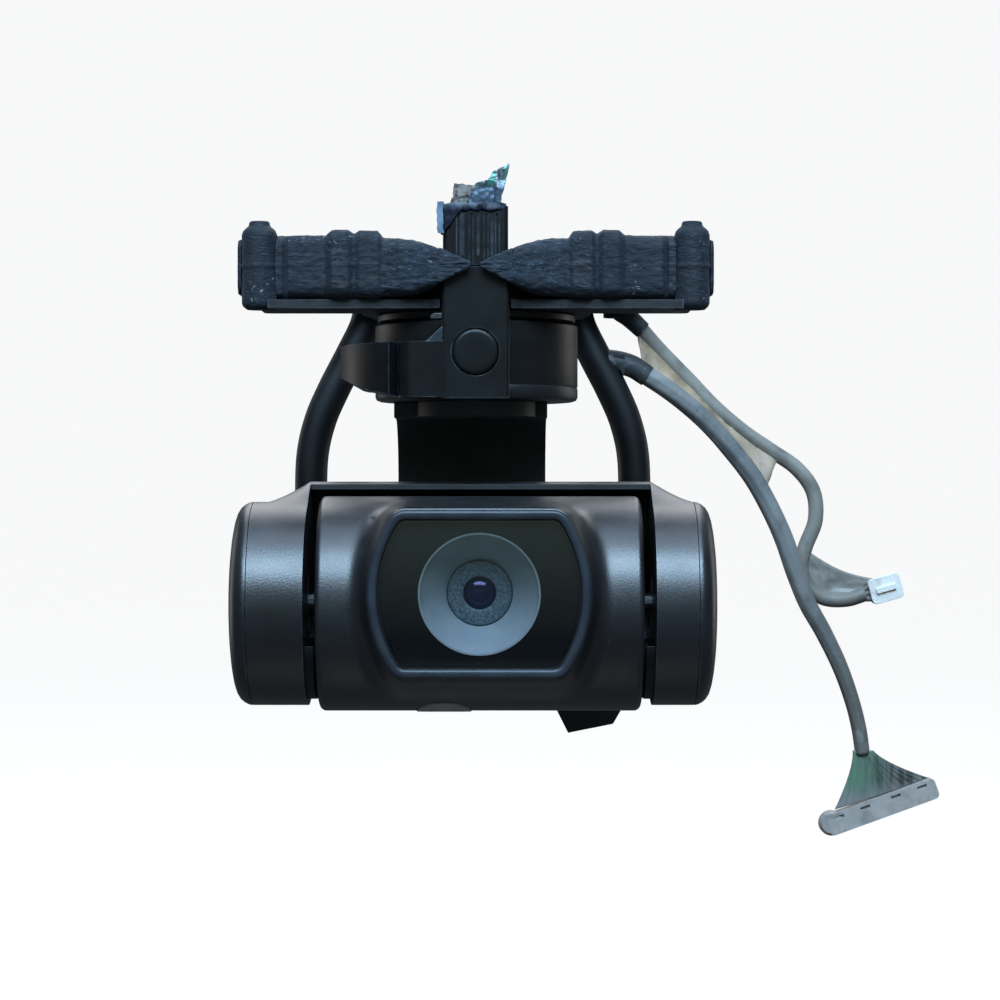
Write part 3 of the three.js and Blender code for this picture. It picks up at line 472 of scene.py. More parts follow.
SHADES = {
    "housing": finish("satin_housing", (0.0050, 0.0058, 0.0072), (0.0085, 0.0100, 0.0125), (0.34, 0.42),
        grain=(6400, 0.95, 0.013), specks=0.5, dust=0.10, wear_and_highlight=0.35, wear_and_highlight_color=(0.10, 0.12, 0.15),
        Specular_IOR_Level=1.0),
    "frame": finish("satin_frame", (0.0050, 0.0058, 0.0072), (0.0085, 0.0100, 0.0125), (0.33, 0.41),
        grain=(6400, 0.95, 0.013), specks=0.6, dust=0.10, wear_and_highlight=0.4, wear_and_highlight_color=(0.10, 0.12, 0.15),
        Specular_IOR_Level=1.0),
    # The bezel's pale edges are a painted highlight as well as wear.
    "bezel": finish("satin_bezel", (0.024, 0.030, 0.038), (0.038, 0.046, 0.058), (0.34, 0.42), 0.3, patch=420,
        grain=(6500, 0.5, 0.008), specks=0.5, wear_and_highlight=1.0, wear_and_highlight_color=(0.26, 0.31, 0.37)),
    "matte_black": finish("blackened_barrel", (0.09, 0.14, 0.18), (0.27, 0.38, 0.45), (0.5, 0.62), 0.1,
        patch=5200, grain=(9000, 0.9, 0.02), specks=0.3),
    "mask": finish("window_mask", (0.0025, 0.0035, 0.005), (0.0035, 0.0050, 0.007), (0.5, 0.6), patch=120,
        grain=(1500, 0.05, 0.002)),
    "motor": finish("turned_motor", (0.008, 0.0082, 0.0085), (0.014, 0.0145, 0.0150), (0.34, 0.44), 0.0,
        grain=(2600, 0.3, 0.008), stretch=(0.08, 0.08, 1), specks=0.5, dust=0.12, wear_and_highlight=0.4,
        wear_and_highlight_color=(0.08, 0.09, 0.11)),
    "bracket": finish("moulded_bracket", (0.0034, 0.0042, 0.0052), (0.0060, 0.0076, 0.0092), (0.32, 0.42),
        grain=(4200, 0.5, 0.010), specks=0.8, dust=0.10, wear_and_highlight=0.9, wear_and_highlight_color=(0.12, 0.14, 0.16),
        Specular_IOR_Level=0.3),
    "plastic": finish("black_plastic", (0.0042, 0.005, 0.0065), (0.0075, 0.009, 0.0115), (0.42, 0.56),
        grain=(3600, 0.6, 0.015), specks=0.6, dust=0.15, wear_and_highlight=0.35, wear_and_highlight_color=(0.035, 0.045, 0.06)),
    # Painted light: the arm's black plastic gets a paler colour, standing in for fill light that its shaded
    # column doesn't get.
    "arm": finish("arm_with_painted_fill", (0.030, 0.030, 0.028), (0.045, 0.045, 0.042), (0.5, 0.65), specks=0.4,
        grain=(3600, 0.6, 0.015), dust=0.08, wear_and_highlight=0.2, wear_and_highlight_color=(0.05, 0.052, 0.055)),
    "dusty": finish("dusty_plastic", (0.004, 0.005, 0.007), (0.018, 0.021, 0.025), (0.5, 0.65), patch=700,
        grain=(2600, 1.0, 0.03), specks=1.6, dust=0.3, wear_and_highlight=0.8, wear_and_highlight_color=(0.10, 0.115, 0.13)),
    "steel": finish("bright_steel", (0.30, 0.31, 0.32), (0.48, 0.49, 0.50), (0.25, 0.4), 1.0,
        grain=(2600, 0.25, 0.004), specks=0.4),
    "magnet": finish("nickel_magnet", (0.28, 0.28, 0.28), (0.42, 0.42, 0.41), (0.25, 0.4), 0.9, patch=500),
    "core": finish("wound_core", (0.18, 0.09, 0.04), (0.34, 0.17, 0.07), (0.4, 0.55), 0.6,
        grain=(3000, 0.5, 0.02), stretch=(1, 1, 6)),
    "pin": finish("dull_steel", (0.05, 0.055, 0.06), (0.12, 0.125, 0.13), (0.35, 0.5), 1.0,
        grain=(2600, 0.4, 0.006)),
    "board": finish("green_board", (0.012, 0.05, 0.030), (0.02, 0.075, 0.045), (0.35, 0.5),
        grain=(4000, 0.4, 0.01)),
    "flex": finish("amber_flex", (0.14, 0.07, 0.025), (0.24, 0.13, 0.045), (0.3, 0.45),
        grain=(1800, 0.4, 0.01), stretch=(6, 0.4, 0.4)),
    "lens_holder": finish("lens_holder", (0.01, 0.01, 0.012), (0.02, 0.02, 0.022), (0.5, 0.6)),
}


def rubber_shade():
    """Dry, fibrous rubber: fine pale fibres along its length, dark grooves, and dust in small patches."""
    s = Shade("fibrous_rubber")
    tone = s.noise(300, 6, warp=0.5)
    color = s.mix(s.spread(tone, 0.3, 0.7), (0.0055, 0.0095, 0.0155), (0.0145, 0.0240, 0.0380))
    fibre = s.noise(2100, 5, (0.45, 1, 1.5), (0, 0.35, 0), 1.6)
    fluff = s.spread(fibre, 0.52, 0.72)
    lint = s.spread(s.noise(700, 4, warp=1.0), 0.44, 0.66)
    pale = s.math("MULTIPLY", fluff, s.math("ADD", s.math("MULTIPLY", lint, 0.5), 0.2))
    color = s.mix(pale, color, (0.10, 0.15, 0.20))
    pale_marks = s.math("MULTIPLY", s.edges(0.2, 0.03, 0.2), s.spread(s.noise(1500, 3), 0.35, 0.6))
    color = s.mix(s.math("MULTIPLY", pale_marks, 0.4), color, (0.08, 0.12, 0.16))
    outer = s.math("ADD", s.along(0, -6.8, -8.4), s.along(0, 6.8, 8.4))
    color = s.mix(s.math("MULTIPLY", outer, 0.5), color, (0.0045, 0.0075, 0.0120))
    flakes = s.spread(s.noise(2300, 2, warp=2.0), 0.68, 0.72)
    chips = s.math("MULTIPLY", flakes, s.spread(s.noise(260, 2), 0.5, 0.6))
    color = s.mix(chips, color, (0.26, 0.30, 0.33))
    normal = s.bump(fibre, 1.0, 0.10, s.bump(s.noise(1000, 4), 0.8, 0.10))
    return s.set(Base_Color=color, Roughness=s.spread(tone, 0.3, 0.7, (0.62, 0.85)), Normal=normal,
        Sheen_Weight=0.08, Sheen_Roughness=0.5, Sheen_Tint=(0.6, 0.75, 0.95))


def funnel_shade():
    """The lens funnel's satin wall: pale below and dark above, a painted highlight on the lower wall and
    painted shade on the upper.
    """
    s = Shade("lens_funnel")
    tone = s.noise(700, 4)
    low = s.mix(s.spread(tone, 0.3, 0.7), (0.62, 0.75, 0.85), (0.76, 0.87, 0.94))
    high = s.mix(s.spread(tone, 0.3, 0.7), (0.34, 0.42, 0.41), (0.43, 0.50, 0.49))
    # Painted highlight on the lower wall, painted shade on the upper wall.
    color = s.mix(s.along(2, -32.2, -26.4), low, high)
    return s.set(Base_Color=color, Roughness=s.spread(tone, 0.3, 0.7, (0.36, 0.46)),
        Normal=s.bump(s.noise(5000, 2), 0.2, 0.006))


def glass_shade():
    """The window's glass: mostly clear, faintly smeared, with a few specks of dust."""
    s = Shade("window_glass")
    smear = s.noise(90, 4, (1, 1, 2.5))
    dots = s.math("MULTIPLY", s.spread(s.cells(520), 0.05, 0.03), s.spread(s.noise(200, 2), 0.55, 0.62))
    color = s.mix(dots, (0.0, 0.0, 0.0), (0.3, 0.32, 0.34))
    alpha = s.math("ADD", 0.30, dots)
    return s.set(Base_Color=color, Roughness=s.spread(smear, 0.3, 0.7, (0.02, 0.05)), Alpha=alpha, IOR=2.3)


def lens_shade():
    """The coated front element: violet and blue, very smooth."""
    s = Shade("coated_lens")
    facing = s.add("ShaderNodeLayerWeight")
    facing.inputs["Blend"].default_value = 0.35
    tint = s.mix(s.spread(facing.outputs["Facing"], 0.05, 0.6), (0.012, 0.013, 0.075), (0.010, 0.035, 0.11))
    return s.set(Base_Color=tint, Roughness=s.spread(s.noise(300), 0.3, 0.7, (0.03, 0.06)), IOR=1.9,
        Specular_Tint=(0.62, 0.55, 1.0), Coat_Weight=0.6, Coat_Roughness=0.04, Coat_Tint=(0.7, 0.75, 1.0))


SHADES["rubber"] = rubber_shade()
SHADES["glass"] = glass_shade()
SHADES["funnel"] = funnel_shade()
SHADES["lens"] = lens_shade()

# ---------------------------------------------------------------- cables

# Routes given one by one. They run beside those in part.mjs, at most 0.5 mm (signal) and 1.5 mm (motor) away.
SIGNAL_ROUTE = [(13.4, 18, -9.3), (15.1, 18, -10.3), (17.6, 18, -12), (20.2, 18, -14.2), (22.4, 18, -16.6),
    (24.6, 18, -19.4), (26.3, 18, -22.4), (27.5, 18, -25.1), (28.5, 18, -28.1), (29.6, 18, -30.9),
    (31, 18, -33.4), (32.5, 18, -36.5), (33.6, 18, -39.6), (34.2, 18, -42.1), (34.5, 18, -44.3)]
MOTOR_ROUTE = [(13, 18.6, -4.7), (14.2, 18.8, -5.6), (16.3, 19.5, -7.9), (18.9, 20, -10.5), (21.4, 20, -13.1),
    (24, 20, -15.3), (26.5, 20, -17.0), (28.8, 20, -18.6), (30.3, 20, -20.7), (30.5, 20, -23.3),
    (29.6, 20, -25.7), (29.2, 20, -27.6), (29.8, 20, -29.3), (31.3, 20, -30.4), (33.3, 20, -30.5),
    (35, 20, -30)]
# Where the two plugs lie, and how far each is turned about Y, in degrees.
WIDE_PLUG_AT, WIDE_PLUG_TURN = (36.2, 18, -49), 20
SMALL_PLUG_AT, SMALL_PLUG_TURN = (36.8, 20, -29.5), 16


def cable_shade(name, dark, light, strands):
    """A jacket over fine wires: ribs come from the mesh, stains and scuffs from here."""
    s = Shade(name)
    tone = s.noise(130, 4, warp=0.4)
    color = s.mix(s.spread(tone, 0.3, 0.7), dark, light)
    stain = s.spread(s.noise(420, 5), 0.5, 0.7)
    color = s.mix(s.math("MULTIPLY", stain, 0.5), color, (0.055, 0.065, 0.06))
    color = s.mix(s.math("MULTIPLY", s.along(2, -24, -38), 0.7), color, (0.085, 0.076, 0.056))
    pale_marks = s.spread(s.noise(1100, 4, warp=0.8), 0.58, 0.7)
    color = s.mix(s.math("MULTIPLY", pale_marks, 0.45), color, (0.28, 0.29, 0.28))
    normal = s.bump(s.noise(strands, 3), 0.5, 0.02)
    return s.set(Base_Color=color, Roughness=s.spread(tone, 0.3, 0.7, (0.45, 0.62)), Normal=normal)


SHADES["cable"] = cable_shade("grey_blue_jacket", (0.150, 0.165, 0.172), (0.290, 0.295, 0.285), 2400)
SHADES["thin_cable"] = cable_shade("grey_jacket", (0.165, 0.156, 0.136), (0.320, 0.300, 0.260), 3000)


def length_of(line):
    return sum((b - a).length for a, b in zip(line, line[1:]))


signal_line = smooth_line(SIGNAL_ROUTE, 10)
motor_line = smooth_line(MOTOR_ROUTE, 10)
signal_cable = sweep("signal_lead", signal_line, lambda t: SIGNAL_R * (0.92 - 0.2 * ease(t, 0.5, 0.9)), 42,
    strands=7, twist=2.2)  # it thins toward the fan
motor_cable = sweep("motor_lead", motor_line, MOTOR_R, 30, strands=3, twist=3.0)


def fan_body():
    """Where the cable's wires spread out to the wide plug: a thin web with a ridge for each wire."""
    start, wires, steps = Vector((34.55, 18, -44.0)), 13, 26
    left, right = Vector((32.0, 18, -49.3)), Vector((40.6, 18, -46.5))
    rings = []
    for k in range(steps + 1):
        t = k / steps
        open_share = t**1.35
        middle = start.lerp((left + right) / 2, t)
        across = Vector((0.95, 0, 0)).lerp((right - left) / 2, open_share)
        thick = 0.62 * (1 - open_share) + 0.34 * open_share
        ring = []
        for i in range(132):
            a = TAU * i / 132
            u = math.cos(a)
            side = math.copysign(abs(math.sin(a)) ** 0.6, math.sin(a))
            ridge = 0.13 * open_share * abs(math.cos(math.pi * wires * (u + 1) / 2))
            fray = 0.05 * noise.noise(Vector((u * 5, t * 3, 1.7)))
            ring.append(middle + across * u + Vector((0, -side * (thick * 0.55 + ridge + fray), 0)))
        rings.append(ring)
    return loft("signal_fan", rings)


def fan_shade():
    """Fine wires in green, grey and dark jackets under a film, greenest on the left."""
    s = Shade("fanned_wires")
    wires = s.noise(900, 1, (3, 0.2, 0.25), (0, 0.35, 0))
    color = s.mix(s.spread(wires, 0.35, 0.6), (0.045, 0.046, 0.040), (0.125, 0.125, 0.11))
    leftward = s.spread(s.along(0, 37.4, 33.4), 0.1, 0.8)
    green = s.math("MULTIPLY", leftward, s.spread(s.noise(260, 2), 0.3, 0.6, (0.45, 1)))
    color = s.mix(s.math("MULTIPLY", green, 0.55), color, (0.13, 0.35, 0.21))
    color = s.mix(s.along(2, -46.6, -49.2), color, (0.27, 0.25, 0.25))
    return s.set(Base_Color=color, Roughness=s.spread(wires, 0.3, 0.7, (0.35, 0.5)),
        Normal=s.bump(s.noise(1600, 3), 0.4, 0.02))


def boots():
    """Rubber sleeves where the two cables come out of the plate and the clip."""
    clip_to_cable = [(10.6, 18, -9.1), (12.2, 18, -9.1), (13.8, 18, -9.5), (15.2, 18, -10.4)]
    thick = sweep("cable_boots", smooth_line(clip_to_cable, 8), lambda t: 1.12 - 0.16 * t, 36)
    gland_to_cable = [(12.4, 18.6, -3.6), (12.7, 18.6, -4.4), (13.6, 18.7, -5.1), (14.8, 18.9, -6.2)]
    thin = sweep("boot", smooth_line(gland_to_cable, 8), lambda t: 1.0 - 0.2 * t, 36)
    return merged("cable_boots", [thick, thin])


def tilted(points, at, degrees):
    """Points of a part drawn straight, turned about Y and set down at a place."""
    c, q = math.cos(math.radians(degrees)), math.sin(math.radians(degrees))
    return [(at[0] + x * c - z * q, at[1] + y, at[2] + x * q + z * c) for x, y, z in points]


def lay_at(piece, at, degrees):
    """Turns a piece that was made at the origin about Y and sets it down at a place."""
    for v in piece.data.vertices:
        v.co = Vector(tilted([v.co / MM], at, degrees)[0]) * MM
    return piece


def wide_plug():
    """The board-to-board style plug at the fan's end: a long low housing with a slot and contacts."""
    shell = prism("shell", "y", rounded(-5.2, -0.95, 5.2, 0.95, 0.45), -0.75, 0.75)
    slot = box("slot", (-4.5, -0.42, -2), (4.5, 0.42, -0.35))
    notches = [box("notch", (x, -2, 0.35), (x + 0.9, -0.45, 0.62)) for x in (-4.4, -1.9, 1.0, 3.5)]
    shell = cut(shell, slot, *notches)
    bead = lathe("bead", "y", [(0, -0.7), (0.9, -0.7), (1.12, -0.4), (1.12, 0.4), (0.9, 0.7), (0, 0.7)],
        (-4.75, 0, 0.15), 40)
    return lay_at(merged("signal_connector", [shell, bead]), WIDE_PLUG_AT, WIDE_PLUG_TURN)


def wide_contacts():
    """The row of small contacts in the wide plug's slot."""
    count, pitch = 19, 0.45
    places = [k * pitch - 4.05 for k in range(count)]
    bars = [box("bar", (x - 0.09, -0.36, -0.78), (x + 0.09, -0.12, -0.4)) for x in places]
    return lay_at(merged("signal_contacts", bars), WIDE_PLUG_AT, WIDE_PLUG_TURN)


def small_plug():
    shell = prism("motor_connector", "y", rounded(-1.45, -1.15, 1.45, 1.15, 0.4), -0.75, 0.75)
    holes = [box("hole", (0.5, -0.3, z), (3, 0.3, z + 0.5)) for z in (-0.85, -0.25, 0.35)]
    rib = box("rib", (-0.9, -1.0, -0.25), (0.9, -0.5, 0.25))
    return lay_at(cut(add(shell, rib), *holes), SMALL_PLUG_AT, SMALL_PLUG_TURN)


def crimp_wires():
    """Three short wires from the thin cable into the small plug."""
    start = Vector((34.4, 20, -30.2))
    wires = []
    for k in (-1, 0, 1):
        end = Vector(tilted([(-1.2, 0, 0.6 * k)], SMALL_PLUG_AT, SMALL_PLUG_TURN)[0])
        line = smooth_line([start, start.lerp(end, 0.5) + Vector((0, 0.1 * k, 0.12 * k)), end], 6)
        wires.append(sweep("wire", line, 0.27, 12))
    return merged("motor_plug_wires", wires)


def part_of(line, start, end, steps=40):
    """Evenly spaced places on a line between two shares of its length."""
    total, at = length_of(line), [0.0]
    for a, b in zip(line, line[1:]):
        at.append(at[-1] + (b - a).length)
    places = []
    for i in range(steps + 1):
        want = total * (start + (end - start) * i / steps)
        k = max(j for j in range(len(at) - 1) if at[j] <= want + 1e-9)
        places.append(line[k].lerp(line[k + 1], (want - at[k]) / (at[k + 1] - at[k])))
    return places


def web(name, upper, lower, seed):
    """A thin crumpled film stretched between two lines, with ragged ends."""
    across, rings = 14, []
    last = len(upper) - 1
    for i, (a, b) in enumerate(zip(upper, lower)):
        front = []
        for k in range(across + 1):
            u = k / across
            p = a.lerp(b, u)
            fold = noise.noise(Vector((i * 0.16, u * 3.0, seed)))
            fold += 0.5 * noise.noise(Vector((i * 0.5, u * 7.0, seed)))
            end = 0.35 * noise.noise(Vector((u * 4.0, seed, 2.0))) if i in (0, last) else 0.0
            front.append(p + Vector((end, -0.12 + 0.28 * fold * math.sin(math.pi * u), end * 0.6)))
        rings.append(front + [p + Vector((0, 0.09, 0)) for p in reversed(front)])
    return loft(name, rings)


def film_web_shade(name, dark, light, end):
    """Clear film gone beige or brown, streaked and stained."""
    s = Shade(name)
    streak = s.noise(420, 4, (1, 1, 0.5), (0, -0.8, 0), 0.5)
    color = s.mix(s.spread(streak, 0.34, 0.66), dark, light)
    color = s.mix(s.math("MULTIPLY", s.along(2, -13.5, -19), 0.7), color, end)
    stain = s.spread(s.noise(900, 4, warp=0.8), 0.56, 0.7)
    color = s.mix(s.math("MULTIPLY", stain, 0.5), color, (0.12, 0.13, 0.12))
    return s.set(Base_Color=color, Roughness=s.spread(streak, 0.3, 0.7, (0.35, 0.55)),
        Normal=s.bump(s.noise(1100, 4), 0.7, 0.05))


def plug_shade(name, dark, light):
    """Pale moulded nylon with grime on it."""
    s = Shade(name)
    tone = s.noise(350, 4)
    color = s.mix(s.spread(tone, 0.3, 0.7), dark, light)
    grime = s.math("MULTIPLY", s.spread(s.noise(800, 5, warp=0.5), 0.5, 0.7), 0.45)
    color = s.mix(grime, color, tuple(0.45 * c for c in dark))
    return s.set(Base_Color=color, Roughness=s.spread(tone, 0.3, 0.7, (0.4, 0.55)), Subsurface_Weight=0.1,
        Subsurface_Scale=0.0005, Normal=s.bump(s.noise(4000, 2), 0.3, 0.006))


SHADES["boot"] = cable_shade("boot_rubber", (0.014, 0.018, 0.022), (0.034, 0.042, 0.048), 2000)
SHADES["plug"] = plug_shade("pale_nylon", (0.34, 0.31, 0.28), (0.50, 0.46, 0.42))
SHADES["small_plug"] = plug_shade("white_nylon", (0.84, 0.80, 0.74), (0.95, 0.91, 0.85))
dress(signal_cable, "base", "cable", SHADES["cable"], "signal_cable")
dress(motor_cable, "base", "cable", SHADES["thin_cable"], "motor_cable")
fan = dress(fan_body(), "base", "cable", fan_shade())
connector = soft_edges(dress(wide_plug(), "base", "plug", SHADES["plug"], "signal_plug"), 0.08)
contacts = dress(wide_contacts(), "base", "steel", SHADES["steel"])
end_plug = soft_edges(dress(small_plug(), "base", "plug", SHADES["small_plug"], "motor_plug"), 0.07)
wires = dress(crimp_wires(), "base", "cable", SHADES["thin_cable"])
long_web = web("film_between_cables", part_of(motor_line, 0.04, 0.50), part_of(signal_line, 0.04, 0.41), 3.0)
plug_corner = Vector((35.7, 20, -28.6))
fork = part_of(motor_line, 0.76, 0.97, 24)
sag = [Vector((0, 0, -0.5 * math.sin(math.pi * k / 24))) for k in range(25)]
upper_edge = [fork[0].lerp(plug_corner, k / 24) + sag[k] for k in range(25)]
short_web = web("film_at_small_plug", upper_edge, fork, 8.0)
dress(creased(boots(), 50), "base", "cable", SHADES["boot"])
beige = film_web_shade("beige_film", (0.22, 0.16, 0.105), (0.62, 0.46, 0.30), (0.52, 0.42, 0.33))
brown = film_web_shade("brown_film", (0.10, 0.105, 0.09), (0.34, 0.30, 0.23), (0.30, 0.28, 0.25))
films = [dress(long_web, "base", "cable", beige), dress(short_web, "base", "cable", brown)]

# ---------------------------------------------------------------- camera body


def window_outline(grow=0.0, lift=0.0):
    """The window's outline in X and Z from the camera's middle: flat top and bottom, bowed sides."""
    h = WINDOW_H / 2 + grow
    side = WINDOW_SIDE + grow
    r = max(0.3, WINDOW_CORNER + grow)
    cx = WINDOW_W / 2 + grow - side
    fz = h - r
    fx = cx + math.sqrt((side - r) ** 2 - fz**2)
    turn = math.degrees(math.atan2(fz, fx - cx))
    z = WINDOW_Z + lift
    straight, bowed = 24, 28
    right = (
        arc(fx, z + fz, r, 90, turn, 10)[:-1]
        + arc(cx, z, side, turn, -turn, bowed)
        + arc(fx, z - fz, r, -turn, -90, 10)[1:]
    )
    left = [(-x, y) for x, y in reversed(right)]
    (x0, z0), (x1, z1) = right[-1], left[0]
    low = [(x0 + (x1 - x0) * k / straight, z0) for k in range(1, straight)]
    high = [(-x, z + h) for x, _ in low]
    return right + low + left + high


def in_camera(points):
    return [(x + CAMERA_X, y + TILT_Y, z + TILT_Z) for x, y, z in points]


CAM = (CAMERA_X, TILT_Y, TILT_Z)


def ring_at(y, grow, lift=0.0):
    """The window's outline, grown and lifted, set in the camera at this depth."""
    return in_camera([(x, y, z) for x, z in window_outline(grow, lift)])


def blend(a, b, t):
    return tuple(p + (q - p) * t for p, q in zip(a, b))


def boss():
    """The boss that carries the window: a rim, a wall, and a hollow flare that dies into the drum."""
    wall = [(-10.6, 0.12, 0.0), (-9.4, 0.45, -0.15), (-6.8, 1.05, -0.45), (-2.4, 1.3, -0.75)]

    def wall_at(y):
        for (y0, g0, l0), (y1, g1, l1) in zip(wall, wall[1:]):
            if y <= y1:
                t = max(0.0, (y - y0) / (y1 - y0))
                return g0 + (g1 - g0) * t, l0 + (l1 - l0) * t
        return wall[-1][1:]

    count = len(window_outline())
    outlines = {}

    def point(i, y):
        key = round(y, 3)
        if key not in outlines:
            outlines[key] = window_outline(*wall_at(key))
        x, z = outlines[key][i]
        return x, key, z

    feet, starts, ends = [], [], []
    for i in range(count):
        low, high = BOSS_Y, -2.4
        for _ in range(16):
            y = (low + high) / 2
            x, y, z = point(i, round(y, 2))
            if y * y + z * z > POD_R**2:
                low = y
            else:
                high = y
        foot = Vector(point(i, round((low + high) / 2, 2)))
        depth = foot.y - BOSS_Y
        start = Vector(point(i, round(BOSS_Y + max(0.12, depth - 1.5), 2)))
        out = foot - Vector((0, foot.y, 0)) - Vector((0, 0, WINDOW_Z * 0.4))
        out.y = 0
        out.normalize()
        reach = 1.25
        turn = out.z * reach * 1.15 / POD_R
        angle = math.atan2(foot.z, -foot.y) + turn
        r = POD_R + 0.015
        end = Vector((foot.x + out.x * reach, -r * math.cos(angle), r * math.sin(angle)))
        outward = (POD_R + 0.02) / POD_R / math.cos(turn)
        foot = Vector((foot.x, foot.y * outward, foot.z * outward))
        feet.append(foot)
        starts.append(start)
        ends.append(end)
    rings = [ring_at(BOSS_Y + 3.2, -BEZEL - 0.15), ring_at(BOSS_Y, -BEZEL - 0.15), ring_at(BOSS_Y, -0.02),
        ring_at(BOSS_Y + 0.02, 0.06), ring_at(BOSS_Y + 0.08, 0.12)]
    steps = 5
    for k in range(1, steps + 1):
        rings.append(in_camera([
            blend(rim, s, k / steps)
            for rim, s in zip([(x, BOSS_Y + 0.08, z) for x, z in window_outline(0.12)], starts)]))
    curve = 12
    for k in range(1, curve + 1):
        t = k / curve
        rings.append(in_camera([
            tuple(s * (1 - t) ** 2 + f * 2 * t * (1 - t) + e * t**2) for s, f, e in zip(starts, feet, ends)]))
    rings.append(in_camera([tuple(e * 0.985) for e in ends]))
    rings.append(ring_at(BOSS_Y + 3.2, -0.3))
    return creased(loft("boss", rings, "loop"), 50)


def pod_profile():
    """Half section of the camera's drum: a thin wall with rounded rims."""
    edge, steps = 0.5, 6
    outer = [(POD_R - edge + edge * math.sin(a), POD_X - edge + edge * math.cos(a))
        for a in [math.pi / 2 * k / steps for k in range(steps + 1)]]
    right = [(1.05, POD_X)] + [(r, x) for r, x in outer]
    left = [(r, -x) for r, x in reversed(right)]
    inner = [(1.05, 1 - POD_X), (POD_R - POD_WALL, POD_WALL - POD_X), (POD_R - POD_WALL, POD_X - POD_WALL),
        (1.05, POD_X - 1)]
    span = [(POD_R, POD_X - edge - (2 * POD_X - 2 * edge) * k / 24) for k in range(1, 24)]
    return right + span + left + inner


def pod_half(name, front):
    """The front or the rear half of the camera's drum. The front has openings for the window and the plug."""
    drum = lathe(name, "x", pod_profile(), CAM, 200)
    if front:
        opening = prism("opening", "y", window_outline(-BEZEL - 0.14), -20, -4, CAM)
        behind = box("behind", (-20, POD_SPLIT, -20), (20, 20, 20), CAM)
        hole = disc("hole", "z", 2.35, -12, -6, (CAMERA_X - 2.9, TILT_Y - 1.7, TILT_Z))
        return cut(drum, behind, opening, hole)
    return cut(drum, box("ahead", (-20, -20, -20), (20, POD_SPLIT + GAP, 20), CAM))


front_drum = creased(pod_half("drum", True), 35)
front_shell = merged("camera_front", [front_drum, boss()])
dress(front_shell, "camera", "housing", SHADES["housing"], "camera_front_shell")
rear_shell = creased(pod_half("camera_rear", False), 35)
dress(rear_shell, "camera", "housing", SHADES["housing"], "camera_rear_shell")


def bezel():
    """The window's rounded frame, from its inset and depth all round."""
    section = [(0.0, BOSS_Y - GAP), (0.0, -11.22), (0.05, -11.38), (0.17, -11.48), (0.3, BEZEL_Y),
        (0.56, BEZEL_Y), (0.68, -11.46), (0.76, -11.36), (BEZEL, -11.2), (BEZEL, BOSS_Y - GAP)]
    return creased(loft("bezel", [ring_at(y, -inset) for inset, y in section], "loop"), 50)


dress(bezel(), "camera", "bezel", SHADES["bezel"], "window_bezel")


def pane():
    """The window: a flat pane whose edge is hidden under the bezel's lip."""
    front, back = -11.22, BOSS_Y - GAP
    rings = [ring_at(back, -BEZEL - 0.04), ring_at(front, -BEZEL - 0.04)]
    return creased(loft("window_pane", rings), 30)


dress(pane(), "camera", "glass", SHADES["glass"], "window_glass")


def lens_parts():
    """The black mask and funnel behind the window, the barrel's grainy face and the front element."""
    front = BOSS_Y + GAP
    lens = (CAMERA_X, TILT_Y, TILT_Z + WINDOW_Z)
    mask = prism("window_mask", "y", window_outline(-BEZEL - 0.2), front, front + 0.3, CAM)
    mask = creased(cut(mask, disc("mouth", "y", MOUTH_R + 0.06, front - 1, front + 1, lens, 160)), 30)
    wall = [(MOUTH_R + 0.16, front - 0.06), (MOUTH_R + 0.02, front - 0.06), (MOUTH_R - 0.06, front + 0.06)]
    flare = [(BARREL_R + 0.05 + (MOUTH_R - BARREL_R - 0.12) * (1 - t) ** 1.06,
        front + 0.1 + (THROAT_Y - front - 0.1) * t) for t in [k / 14 for k in range(15)]]
    back = [(BARREL_R + 0.7, THROAT_Y + 0.3), (MOUTH_R + 0.16, front + 0.6)]
    funnel = creased(lathe("lens_funnel", "y", wall + flare + back, lens, 160), 40)
    face = [(PUPIL_R, -7.3), (PUPIL_R + 0.1, -7.42), (PUPIL_R + 0.22, -7.45), (BARREL_R - 0.16, -7.45),
        (BARREL_R - 0.04, -7.4), (BARREL_R, -7.28)]
    tube = [(BARREL_R, -1.4), (1.9, -1.4), (1.9, -6.85), (PUPIL_R + 0.05, -6.85)]
    barrel = creased(lathe("lens_barrel_ring", "y", face + tube, lens, 128), 40)
    curve = 2.2
    dome = [(r, THROAT_Y + curve - math.sqrt(curve**2 - r**2)) for r in [1.8 * k / 14 for k in range(15)]]
    element = creased(lathe("front_element", "y", dome + [(1.8, -5.6), (0, -5.6)], lens, 96), 50)
    return mask, funnel, barrel, element


mask, funnel, barrel, element = lens_parts()
dress(mask, "camera", "matte_black", SHADES["mask"])
dress(funnel, "camera", "funnel", SHADES["funnel"], "lens_baffle")
dress(barrel, "camera", "matte_black", SHADES["matte_black"], "lens_barrel")
dress(element, "camera", "lens", SHADES["lens"], "lens_element")

# ---------------------------------------------------------------- roll frame


def band_share(a):
    """How much of the band's height the frame has at this angle round the tilt axis, 0 to 1."""
    deg = math.degrees(a)
    return 1 - ease(deg, 60, 110) if deg > 14 else ease(deg, -63, -33)


def frame_section(x):
    """The roll frame's outline across the tilt axis, at a place along it."""
    count = 180
    past = max(0.0, abs(x) - SHOULDER_X) / (END_RIGHT - COVER - SHOULDER_X)
    rise = (BAND_OUT - DRUM_R) * (1 - min(1.0, past))
    ring = []
    for i in range(count):
        a = TAU * i / count - math.pi
        r = DRUM_R + rise * band_share(a)
        ring.append((x, r * math.cos(a), r * math.sin(a)))
    return in_camera(ring)


